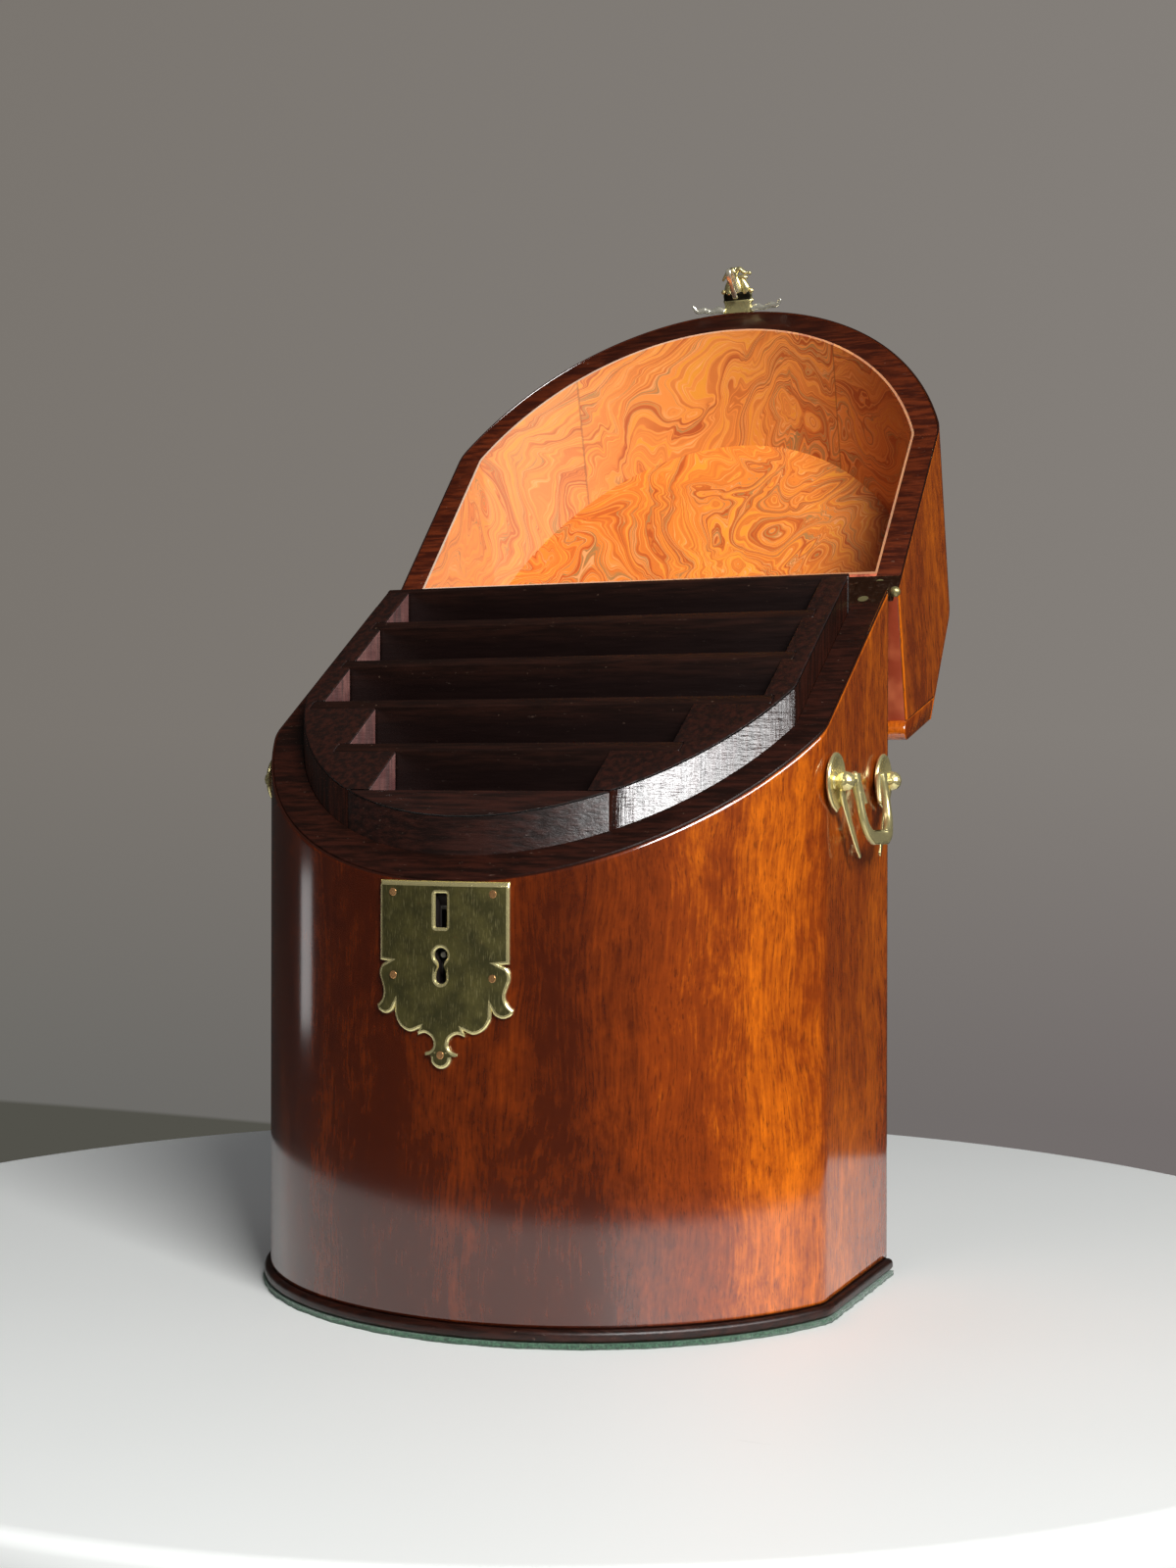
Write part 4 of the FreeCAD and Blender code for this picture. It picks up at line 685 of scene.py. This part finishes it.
def slot_outline():
    """Upright slot for the staple, below the rim in millimetres."""
    across, top, low, turn = 1.75, -4.9, -15.8, 0.5
    places = [(across, top, 0), (-across, top, 90), (-across, low, 180), (across, low, 270)]
    return np.vstack([ring(turn, x, z, start, start + 90, 4) for x, z, start in places])


def plan_line(half_width, front, back, corner, bow, along=60):
    """The body's plan from its back left corner round the front to its back right corner: straight
    sides, and a bow that is an arc and runs into both sides through smaller arcs."""
    reach = half_width - corner
    lean = math.asin(reach / (bow - corner))
    corner_y = front + bow - (bow - corner) * math.cos(lean)
    turn = np.linspace(-lean, lean, 260)
    arc = np.stack([bow * np.sin(turn), front + bow - bow * np.cos(turn)], -1)
    turn = np.linspace(lean, np.pi / 2, 40)[1:]
    round_part = np.stack([reach + corner * np.sin(turn), corner_y - corner * np.cos(turn)], -1)
    right = np.vstack([round_part, np.linspace(round_part[-1], (half_width, back), along)[1:]])
    return np.vstack([right[::-1] * (-1, 1), arc, right])


def skin_wall(name, edges, material, left_out=None):
    """A veneer bent round the body's plan. edges gives its lower and upper edge from how far back
    each place is, and the point at share v stands at low + v * (high - low). Cells that left_out
    names stay open, and the sheet gets its thickness inwards."""
    line = plan_line(SKIN_HIGH[0], FRONT_Y, SKIN_HIGH[1], CORNER_RADIUS, BOW_RADIUS)
    low, high = edges(line[:, 1] - FRONT_Y)
    v = np.linspace(0, 1, 90)[:, None]
    heights = low + v * (high - low)
    points = np.dstack([np.broadcast_to(line, (len(v),) + line.shape), heights]).reshape(-1, 3)
    faces = grid_faces(len(v), len(line))[:, ::-1]
    if left_out:
        faces = faces[~left_out(points[faces].mean(axis=1))]
    item = mesh_object(name, points, faces, material)
    put(item.modifiers.new("veneer", "SOLIDIFY"), thickness=VENEER, offset=-1)
    return item


# ---------------- operators
def lock_holes(middle):
    """The veneer is open behind the lock plate's slot and keyhole."""
    x, z = middle[:, 0], middle[:, 2]
    return (abs(x) < 4.2 * MM) & (z > RIM_Z - 40 * MM) & (z < RIM_Z - 1.5 * MM)


class KNIFEBOX_OT_carcass(bpy.types.Operator):
    """Veneered body, its back, base and bead"""

    bl_idname = "knifebox.carcass"
    bl_label = "Body and base"

    def execute(self, context):
        wood = context.scene.knife_wood
        skin = skin_wall("body_skin", lambda back: (SKIN_LOW[2], RIM_Z + back * RIM_SLOPE),
                         polished_mahogany("body mahogany", wood), lock_holes)
        made(skin, "box", "mahogany_veneer", "body_veneer")
        rim = blackened_wood("rim facing", wood, (60, 420, 420))
        softened("box", wood.wear * 1.6, rim, "rim_facing", segments=3)
        softened("box", wood.wear * 0.3, blackened_wood("foot bead", wood, (40, 400, 400)), "base_bead")
        bare = bare_stained("stained back", wood)
        softened("box", wood.wear, bare, "back_board")
        repaint(bare, "side_board_left", "side_board_right")
        # near-black front board: painted shade in the lock plate's keyhole and slot
        painted_hole_shade = bare_stained("sooty front board", wood, tones=(srgb(18, 9, 7), srgb(26, 13, 9)))
        repaint(painted_hole_shade, "bow_front_board")
        repaint(bare_stained("stained base", wood, (24, 380, 380)), "bottom_board")
        return {"FINISHED"}


class KNIFEBOX_OT_rack(bpy.types.Operator):
    """Blackened knife rack with its five slots"""

    bl_idname = "knifebox.rack"
    bl_label = "Knife rack"

    def execute(self, context):
        wood = context.scene.knife_wood
        dark = blackened_wood("rack wood", wood, tones=(srgb(25, 12, 8), srgb(40, 19, 12)), painted_slot_shade=0.85)
        softened("box", wood.wear, dark, *["rack_partition_%d" % k for k in range(1, 5)], "rack_back_board")
        worn = blackened_wood("worn front", wood, slope=0.11)
        softened("box", wood.wear * 2, worn, "rack_front_block", segments=3)
        for word, side in (("left", 1), ("right", -1)):
            walls = slot_walls("cheek " + word, wood, side)
            softened("box", wood.wear * 1.6, walls, "rack_cheek_" + word, segments=3)
        repaint(pine_board("pine"), "rack_floor", "rack_bearer_left", "rack_bearer_right")
        return {"FINISHED"}


def lid_edges(back):
    """The walls go from the sloping rim up to the slanted top or the flat top board."""
    return RIM_Z + LID_GAP + back * RIM_SLOPE, np.minimum(LID_FRONT_Z + back * LID_SLOPE, LID_TOP_Z)


class KNIFEBOX_OT_lid(bpy.types.Operator):
    """Lid boards, veneers and top"""

    bl_idname = "knifebox.lid"
    bl_label = "Lid"

    def execute(self, context):
        wood = context.scene.knife_wood
        skin = skin_wall("lid_skin", lid_edges, polished_mahogany("lid mahogany", wood, OPENING))
        made(move_points(skin, opened(points_of(skin))), "lid", "mahogany_veneer", "lid_veneer")
        top = polished_mahogany("lid top mahogany", wood, OPENING + LID_SLANT, over_edges=1)
        softened("lid", wood.wear * 0.4, top, "lid_slope_veneer")
        softened("lid", wood.wear * 1.2, top, "lid_top_board")
        edge = blackened_wood("lid rim", wood, (60, 420, 420), OPENING,
                              (srgb(54, 17, 6), srgb(98, 38, 12)), bare_back=1)
        softened("lid", wood.wear * 0.8, edge, "lid_bow_board", "lid_side_board_left", "lid_side_board_right")
        # brighter tones than the body's stained back: painted light on the lid's back and slope boards, which
        # the lamps hardly reach
        bare = bare_stained("stained lid back", wood, turn=OPENING,
                            tones=(srgb(146, 62, 40), srgb(206, 104, 70)))
        softened("lid", wood.wear, bare, "lid_back_board")
        repaint(bare, "lid_slope_board")
        return {"FINISHED"}


class KNIFEBOX_OT_linings(bpy.types.Operator):
    """Marbled paper in the lid"""

    bl_idname = "knifebox.linings"
    bl_label = "Paper linings"

    def execute(self, context):
        lining = context.scene.knife_lining
        wall = marbled_paper("marbled paper", lining, OPENING, cut_edge_and_highlight=1, seams=SHEET_SEAMS)
        repaint(wall, "lid_wall_liner")
        repaint(marbled_paper("marbled panel paper", lining, warmth=0.6), "lid_panel_liner")
        return {"FINISHED"}


def cloth(low, high, lining):
    """Rings from the middle to the edge. The edge is the base's plan (straight back and sides,
    bow front, round corners) with a wandering fray: a sum of three sines of the way round."""
    front = plan_line(high[0], low[1], high[1], 20.5 * MM, BOW_RADIUS + FRONT_Y - low[1], 120)
    edge = np.vstack([front, np.linspace(front[-1], front[0], 240)[1:-1]])
    way = np.linspace(0, 2 * np.pi, len(edge), endpoint=False)
    fray = np.sin(way * 37 + 1) + 0.7 * np.sin(way * 83 + 2) + 0.5 * np.sin(way * 211)
    middle = np.array([0, (low[1] + high[1]) / 2])
    heading = edge - middle
    heading /= np.linalg.norm(heading, axis=1)[:, None]
    ragged = edge + heading * (fray[:, None] * 0.22 - 0.4) * lining.fray
    flat = middle + np.linspace(0, 1, 12)[:, None, None] * (ragged - middle)
    points = np.dstack([flat, np.full(flat.shape[:2], (low[2] + high[2]) / 2)]).reshape(-1, 3)
    faces = grid_faces(len(flat), len(edge), wrap_columns=True)
    item = outward(mesh_object("baize_cloth", points, faces, felted_wool("baize cloth", lining)))
    put(item.modifiers.new("cloth", "SOLIDIFY"), thickness=float(high[2] - low[2]) - 0.12 * MM, offset=0)
    after = np.roll(ragged, -1, axis=0)
    area = abs(np.sum(ragged[:, 0] * after[:, 1] - after[:, 0] * ragged[:, 1])) / 2
    return item, float(area)


class KNIFEBOX_OT_baize(bpy.types.Operator):
    """Green cloth under the base, its cut edge frayed"""

    bl_idname = "knifebox.baize"
    bl_label = "Baize"

    def execute(self, context):
        lining = context.scene.knife_lining
        low, high = corners("baize")
        item, area = cloth(low, high, lining)
        made(item, "box", "baize", "baize")
        return {"FINISHED"}


class KNIFEBOX_OT_lock_plate(bpy.types.Operator):
    """Pierced brass plate over the lock, with its nails"""

    bl_idname = "knifebox.lock_plate"
    bl_label = "Lock plate"

    def execute(self, context):
        fitting = context.scene.knife_fitting
        brass = aged_brass("plate brass", fitting)
        blank, lip = 2.2 * fitting.plate_bevel, RIM_Z - 1.9 * MM
        outlines = [outline * MM + (0, RIM_Z) for outline in
                    (mirrored(lock_plate_outline()), keyhole_outline(), slot_outline())]
        plate = cut_plate("lock_plate", outlines, blank, fitting.plate_bevel, brass, [lip])
        places = points_of(plate) * (1, 1, fitting.plate_thickness / blank)
        lean = np.clip((places[:, 1] - lip) / (1.8 * MM), 0, 1) * (places[:, 2] > 0)
        places[:, 2] -= lean * 0.75 * MM
        move_points(plate, on_bow(places, fitting.plate_thickness / 2 + 0.02 * MM))
        made(plate, "box", "brass", "escutcheon")
        nails = aged_brass("nail brass", fitting, polish_and_highlight=0.9, bright=srgb(220, 164, 108))
        softened("box", 0.35 * MM, nails, "escutcheon_nails", segments=3)
        repaint(dull_steel("lock steel"), "lock_case", "lock_cap", "lock_key_post", "lock_bolt",
                "lock_screws")
        return {"FINISHED"}


def knob(brass):
    """A flared foot, a dark hollow, three leaves, a curled top with side tips, and beads."""
    def hung(points):
        """(across, below the lid's edge) in millimetres to the open lid, 4 mm in front of it."""
        x, drop = np.moveaxis(np.asarray(points, float) * MM, -1, 0)
        return opened(np.stack([x, np.full_like(x, FRONT_Y - 4 * MM), RIM_Z - drop], -1))

    across = (1, 0, 0)
    yield band("foot", hung(np.linspace((0, -2.5), (0, 5.4), 12)), [7.4, 7.5, 7, 6.6, 6.7, 7.3],
               [1.6, 1.75, 1.7, 1.55, 1.6, 1.75], across, brass, 28, 4)
    yield band("hollow", hung(np.linspace((0, 5), (0, 9.2), 8)), [7.4, 7, 7.2, 6.6],
               [1.4, 1.2, 1.3, 1.2], across, brass, 28, 3, rub=-2)
    for width, *leaf in ((2.5, (0, 7.2), (0.2, 11), (0, 16.6)), (1.9, (-2.6, 6.6), (-4.4, 11), (-1.8, 16.8)),
                         (1.9, (2.6, 6.6), (4.4, 11), (1.8, 16.8))):
        widths = width * np.array([0.25, 0.85, 1, 0.8, 0.35])
        yield band("leaf", hung(smooth_path(leaf, 10)), widths, [0.4, 1.5, 1.75, 1.5, 0.7], across,
                   brass, 20, 1.8)
    for curl in ([(0.4, 17), (-1.6, 19.8), (-4.4, 18), (-6.9, 15)],
                 [(-0.4, 17.2), (1.6, 19.9), (4, 18.2), (6.3, 17.6)],
                 [(1.4, 16.2), (3.6, 15.9), (5.6, 15.6)]):
        yield band("curl", hung(smooth_path(curl, 8)), [0.9, 1.15, 1, 0.5], [1.2, 1.5, 1.3, 0.6],
                   across, brass)
    bead = ring(1, 0, 0, -90, 90, 14)
    for x, drop, size in ((-6.9, 9.6, 1.15), (6.9, 9.4, 1.15), (6.7, 17.6, 0.95), (6.9, 5, 0.9),
                          (-0.2, 19.8, 1.05)):
        yield turned("bead", bead * size, hung((x, drop)), (0, 0, 1), brass, 24, 0.7)


def staple(brass):
    """A flat loop that slants back along the lid's path, 10.3 mm below the rim at the bow."""
    start = RIM_Z - 10.3 * MM
    rise = math.atan2(FRONT_Y - PIN_Y, PIN_Z - start)
    loop = smooth_path([(-3.4, 1.9), (3, 1.95), (9.3, 1.95), (11.45, 0), (9.3, -1.95), (3, -1.95),
                        (-3.4, -1.9)], 8) * MM
    along, aside = loop[:, 0], loop[:, 1]
    line = np.stack([0 * along, FRONT_Y + along * math.cos(rise) - aside * math.sin(rise),
                     start + along * math.sin(rise) + aside * math.cos(rise)], -1)
    return band("staple_loop", opened(line), [1.25], [0.55], (1, 0, 0), brass, 16, 2.6)


def scrolls(brass):
    """The lift's plate: two scrolled wings that rise from the foot and end in upturned curls."""
    lobes = [smooth_path(lobe, 6) for lobe in (
        [(2.6, 20.6), (4.2, 17.2), (3.4, 13.6)],
        [(5.2, 12.6), (9.2, 12.9), (12.4, 10.4), (12, 7.4)],
        [(14.4, 8.4), (17.4, 6.6), (20.4, 7.4), (22.4, 4.4)],
        [(21.6, 2.2), (17.6, 1), (12, 1.5), (7.6, 0.5)])]
    half = np.vstack([[(0, 21.5)], *lobes, [(0, 0.5)]])
    plate = cut_plate("wings", [mirrored(half) * MM], 1.5 * MM, 0.5 * MM, brass)
    yield move_points(plate, opened(on_bow(points_of(plate) + (0, RIM_Z, 0), 0.77 * MM)))
    edge = smooth_path([(6.6, -0.6, 3), (9.5, -1.7, 3.1), (13, -1, 3), (16.5, -2, 3.1),
                        (19.6, -1.8, 3), (21.6, -4.4, 3.1)], 8) * MM + (0, RIM_Z, 0)
    for sign in (-1, 1):
        yield band("wing_edge", opened(on_bow(edge * (sign, 1, 1))), [1.2, 1.7, 1.1, 1.5, 1.2, 0.6],
                   [0.9, 0.9, 0.8, 0.9, 0.8, 0.6], (0, 0, 1), brass)


class KNIFEBOX_OT_lift(bpy.types.Operator):
    """Cast thumb lift on the lid, its scrolled plate and the staple"""

    bl_idname = "knifebox.lift"
    bl_label = "Thumb lift"

    def execute(self, context):
        fitting = context.scene.knife_fitting
        brass = aged_brass("lift brass", fitting, polish_and_highlight=0.75)
        repaint(brass, "lift_nails")
        # near-white brass over the whole staple: painted highlight
        white = aged_brass("staple brass", fitting, polish_and_highlight=1, bright=srgb(250, 243, 214))
        made(staple(white), "lid", "brass", "staple")
        made(gathered("lift_knob", knob(brass)), "lid", "brass", "thumb_lift")
        # near-white brass over the whole scrolled plate: painted highlight
        pale = aged_brass("scroll brass", fitting, polish_and_highlight=1, bright=srgb(252, 247, 226))
        made(gathered("lift_scrolls", scrolls(pale)), "lid", "brass", "lift_plate")
        return {"FINISHED"}


def rosettes(sign, pivot, posts, brass):
    """Dishes with a thick rolled rim, whose lower edge is drawn out to a small point."""
    profile = [(0, 1), (2.4, 1), (5, 1.25), (7.4, 1.75), (8.7, 2.35), (9.4, 2.58), (10.1, 2.5),
               (10.5, 2.05), (10.5, 1.5), (9.8, 0.95), (7.2, 0.35), (4.6, 0), (0, 0)]
    rub = [0, 0, 0.1, 0.2, 0.7, 1, 1, 0.9, 0.6, 0.2, 0, 0, 0]
    for y in posts:
        dish = turned("dish", profile, (sign * SKIN_HIGH[0], y, pivot[2]), (sign, 0, 0), brass, 64, rub)
        places = points_of(dish)
        across, down = places[:, 1] - y, places[:, 2] - pivot[2]
        point = np.clip(1 - abs(np.arctan2(across, -down)) / 0.30, 0, 1) ** 2
        places[:, 2] -= point * (np.hypot(across, down) > 9 * MM) * MM
        yield move_points(dish, places)


def ball_posts(sign, pivot, posts, brass):
    """A collar, a neck and a facetted ball with a pivot tip, and the flat spur below it."""
    skin = sign * SKIN_HIGH[0]
    reach = abs(pivot[0] - skin) / MM
    collar = [(0, 1), (3.3, 1), (3.5, 1.5), (3, 2.1), (2.1, 2.4), (1.9, 3), (0, 3.2)]
    shank = [(0, -9), (1.7, -9), (1.7, reach), (0, reach)]
    angle = np.radians([-90, -62, -38, -13, 13, 38, 62, 90])
    ball = 3.75 * np.stack([np.cos(angle), np.sin(angle)], -1)
    tip = [(0, -4.05), (0.6, -4), (0.75, -3.6), (0.75, -3), (0, -3)]
    spur = smooth_path([(0, -2.6, 4.1), (2, -6.5, 3.9), (7, -13, 4.2), (13.5, -22, 4.9),
                        (18.4, -28.3, 5.4)], 7) * MM
    for y, inward in zip(posts, (1, -1)):
        root, head, out = (skin, y, pivot[2]), (pivot[0], y, pivot[2]), (sign, 0, 0)
        yield turned("collar", collar, root, out, brass, 32, [0, 0.4, 0.6, 0.3, 0, 0, 0])
        yield turned("shank", shank, root, out, brass, 24)
        facets = turned("ball", ball, head, (0, 1, 0), brass, 12, 0.85)
        facets.data.shade_flat()
        yield facets
        yield turned("tip", tip, head, (0, inward, 0), brass, 16)
        line = np.stack([skin + sign * spur[:, 2], y + inward * spur[:, 0], pivot[2] + spur[:, 1]], -1)
        yield band("spur", line, [1.3, 1.9, 2.3, 2.1, 1.7, 0.7], [0.9, 0.9, 0.85, 0.8, 0.7, 0.5],
                   (0, 1, 0), brass, 16, 2.2)


def bail_u(sign, pivot, posts, brass):
    """A flat-sided U: its arms flare to trumpet heads at the pivots and carry a short inner curl."""
    c, s = math.cos(math.radians(10.5)), math.sin(math.radians(10.5))
    middle, half = sum(posts) / 2, (posts[1] - posts[0]) / 2 / MM
    arm = half - 13.4

    def swung(points):
        """(along the side, height above the pivots, out) in millimetres, leaning with the handle."""
        y, z, out = np.moveaxis(np.asarray(points, float) * MM, -1, 0)
        return np.stack([pivot[0] + sign * (out * c - z * s), middle + y, pivot[2] + z * c + out * s], -1)

    right = smooth_path([(arm, 2.6, 0), (arm, -2, 0), (arm - 0.2, -8, 0), (arm - 1.3, -14.5, 0),
                         (arm - 4.5, -19.2, 0), (arm - 9.5, -21.6, 0)], 9)
    line = np.vstack([right, right[-2::-1] * (-1, 1, 1)])
    widths = [3, 2.8, 2.1, 1.8, 1.9, 2.2, 2.7, 2.8]
    depths = [1.9, 1.8, 1.55, 1.45, 1.4, 1.35, 1.35, 1.3]
    across = (sign * c, 0, s)
    yield band("bow", swung(line), depths + depths[::-1], widths + widths[::-1], across, brass, 24, 3.2)
    rod = np.linspace((half - 2.2, 0, 0), (arm + 0.6, 0, 0), 8)
    curl = smooth_path([(arm - 0.5, 2.4, -0.2), (arm - 3, 1.6, -0.3), (arm - 6, -2.6, -0.3),
                        (arm - 8.6, -8.4, -0.2)], 8)
    for side in (1, -1):
        yield band("rod", swung(rod * (side, 1, 1)), [1, 1, 1.3, 1.6], [1, 1, 1.3, 1.6], across, brass)
        yield band("curl", swung(curl * (side, 1, 1)), [1.1, 1, 0.9, 0.8], [1.4, 1.2, 1, 0.9],
                   across, brass, 16, 2.2)


class KNIFEBOX_OT_handles(bpy.types.Operator):
    """Drop handles with their dished rosettes, ball posts and spurs"""

    bl_idname = "knifebox.handles"
    bl_label = "Drop handles"

    def execute(self, context):
        brass = aged_brass("handle brass", context.scene.knife_fitting, polish_and_highlight=0.7)
        for word, sign in (("left", -1), ("right", 1)):
            pivot = np.array(JOINTS[word + "_handle_swing"]["pos_m"])
            low, high = corners("handle_rosettes_" + word)
            side = (sign, pivot, (pivot[1], low[1] + high[1] - pivot[1]), brass)
            dishes, posts, bail = (gathered(name + word, parts(*side)) for name, parts in
                                   (("dishes_", rosettes), ("ball_posts_", ball_posts), ("bail_u_", bail_u)))
            made(dishes, "box", "brass", "handle_rosettes_" + word)
            made(posts, "box", "brass", "handle_posts_" + word)
            made(bail, "bail_" + word, "brass", "bail_" + word)
        return {"FINISHED"}


class KNIFEBOX_OT_hinges(bpy.types.Operator):
    """Brass hinges and their screws"""

    bl_idname = "knifebox.hinges"
    bl_label = "Hinges"

    def execute(self, context):
        brass = aged_brass("hinge brass", context.scene.knife_fitting, polish_and_highlight=0.3)
        hinges = [node for node in frame["nodes"] if node.startswith("hinge_")]
        repaint(brass, *[node for node in hinges if "leaf" not in node])
        leaves = dull_steel("blackened leaves", srgb(66, 40, 26))
        repaint(leaves, *[node for node in hinges if "leaf" in node])
        return {"FINISHED"}


def table(stage):
    look = Look("white table")
    marks = look.grain((9, 420, 9), 4, 0.7, turn=(0, 0, 0.35))
    smudge = look.noise(7, 3, 0.5)
    colour = look.mix(marks.smooth(0.70, 0.76) * 0.5, srgb(243, 245, 242), srgb(200, 202, 198))
    white = look.shade(colour, 0.42 + smudge * 0.1)
    edge = stage.table_radius / MM
    profile = [(0, 0), (edge * 0.5, 0), (edge - 6, 0), (edge - 3, -0.3), (edge - 1, -1.5), (edge, -4),
               (edge, -20), (edge - 2, -23), (edge - 30, -24), (0, -24)]
    top = turned("table_top", profile, (-20 * MM, 60 * MM, 0), (0, 0, 1), white, 256)


def room(stage):
    """Grey wall and a darker skirting to the eye, and a dim room to polished pieces, while the
    light that comes from all round is soft and weak."""
    world = Look("room", "worlds")
    heading = world.node("TexCoord", output="Generated")
    aside = world.node("VectorMath", {"operation": "DOT_PRODUCT"}, [heading, (0.919, 0.394, 0)], "Value")
    up = world.axis(2, heading)

    def between(value, low, high, first, second):
        share = world.node("MapRange", {}, {"Value": value, "From Min": low, "From Max": high})
        return world.mix(share, first, second)

    def glow(colour, strength=1):
        return world.node("Background", {}, {"Color": colour, "Strength": strength})

    high_wall = between(aside, -0.27, 0.27, srgb(122, 117, 111), srgb(132, 127, 122))
    low_wall = between(aside, -0.27, 0.27, srgb(107, 106, 102), srgb(115, 109, 108))
    wall = between(up, -0.15, 0.02, low_wall, high_wall)
    wall = between(aside * 0.113 + up, -0.1722, -0.1706, srgb(82, 81, 74), wall)
    dim = between(world.axis(1, heading), -0.15, 0.35, srgb(44, 42, 41), srgb(44, 42, 40))
    light = glow((*srgb(250, 251, 255), 1), stage.room)
    for kind, seen in (("Is Glossy Ray", dim), ("Is Camera Ray", wall)):
        ray = world.node("LightPath", output=kind)
        light = world.node("MixShader", {}, [ray, light, glow(seen)])
    world.node("OutputWorld", {}, [light])
    return world.owner


def lamps(stage):
    middle = Vector((0, 0, 0.2))
    for name, place, size, energy in (
            ("window", (1.68, -1.59, 1.62), (1.08, 0.95), stage.key_power),
            ("side_window", (1.52, -0.25, 0.85), (1.1, 0.5), stage.side_power),
            ("far_window", (-1.5, 0.065, 0.02), (0.2, 0.16), stage.fill_power)):
        lamp = put(bpy.data.lights.new(name, "AREA"), shape="RECTANGLE", size=size[0], size_y=size[1],
                   energy=energy)
        put(placed(name, lamp), visible_diffuse=name == "window", location=place,
            rotation_euler=(middle - Vector(place)).to_track_quat("-Z", "Y").to_euler())


def camera():
    """Set by the box's own corners: 23.2 degrees round to the right and level."""
    eye = Vector((346.1, -758.55, 196.4)) * MM
    turn, dip, roll = math.radians(23.23), math.radians(-0.16), math.radians(0.12)
    lens = put(bpy.data.cameras.new("camera"), sensor_fit="VERTICAL", sensor_height=36, lens=50.02)
    place = (Matrix.Translation(eye) @ Matrix.Rotation(turn, 4, "Z")
             @ Matrix.Rotation(math.pi / 2 + dip, 4, "X") @ Matrix.Rotation(roll, 4, "Z"))
    return put(placed("camera", lens), matrix_world=place)


class KNIFEBOX_OT_stage(bpy.types.Operator):
    """Round white table, grey room, lamps and camera"""

    bl_idname = "knifebox.stage"
    bl_label = "Stage"

    def execute(self, context):
        stage = context.scene.knife_stage
        table(stage)
        context.scene.world = room(stage)
        lamps(stage)
        context.scene.camera = camera()
        context.scene.view_settings.view_transform = "Standard"
        return {"FINISHED"}


class KNIFEBOX_PT_panel(bpy.types.Panel):
    """Steps that dress the knife box, in order"""

    bl_label = "Knife box"
    bl_idname = "KNIFEBOX_PT_panel"
    bl_space_type = "VIEW_3D"
    bl_region_type = "UI"
    bl_category = "Knife Box"

    def draw(self, context):
        for key in SETTINGS:
            settings, box = getattr(context.scene, key), self.layout.box()
            for name in settings.__annotations__:
                box.prop(settings, name)
        for step in STEPS:
            self.layout.operator(step.bl_idname)


SETTINGS = {"knife_wood": WoodSettings, "knife_fitting": FittingSettings,
            "knife_lining": LiningSettings, "knife_stage": StageSettings}
STEPS = (KNIFEBOX_OT_stage, KNIFEBOX_OT_carcass, KNIFEBOX_OT_rack, KNIFEBOX_OT_lid, KNIFEBOX_OT_linings,
         KNIFEBOX_OT_baize, KNIFEBOX_OT_lock_plate, KNIFEBOX_OT_lift, KNIFEBOX_OT_handles, KNIFEBOX_OT_hinges)
CLASSES = (*SETTINGS.values(), *STEPS, KNIFEBOX_PT_panel)


def register():
    for group in CLASSES:
        bpy.utils.register_class(group)
    for name, group in SETTINGS.items():
        setattr(bpy.types.Scene, name, PointerProperty(type=group))


def unregister():
    for name in SETTINGS:
        delattr(bpy.types.Scene, name)
    for group in reversed(CLASSES):
        bpy.utils.unregister_class(group)


def main():
    register()
    for step in STEPS:
        family, name = step.bl_idname.split(".")
        getattr(getattr(bpy.ops, family), name)()


if __name__ == "__main__":
    main()
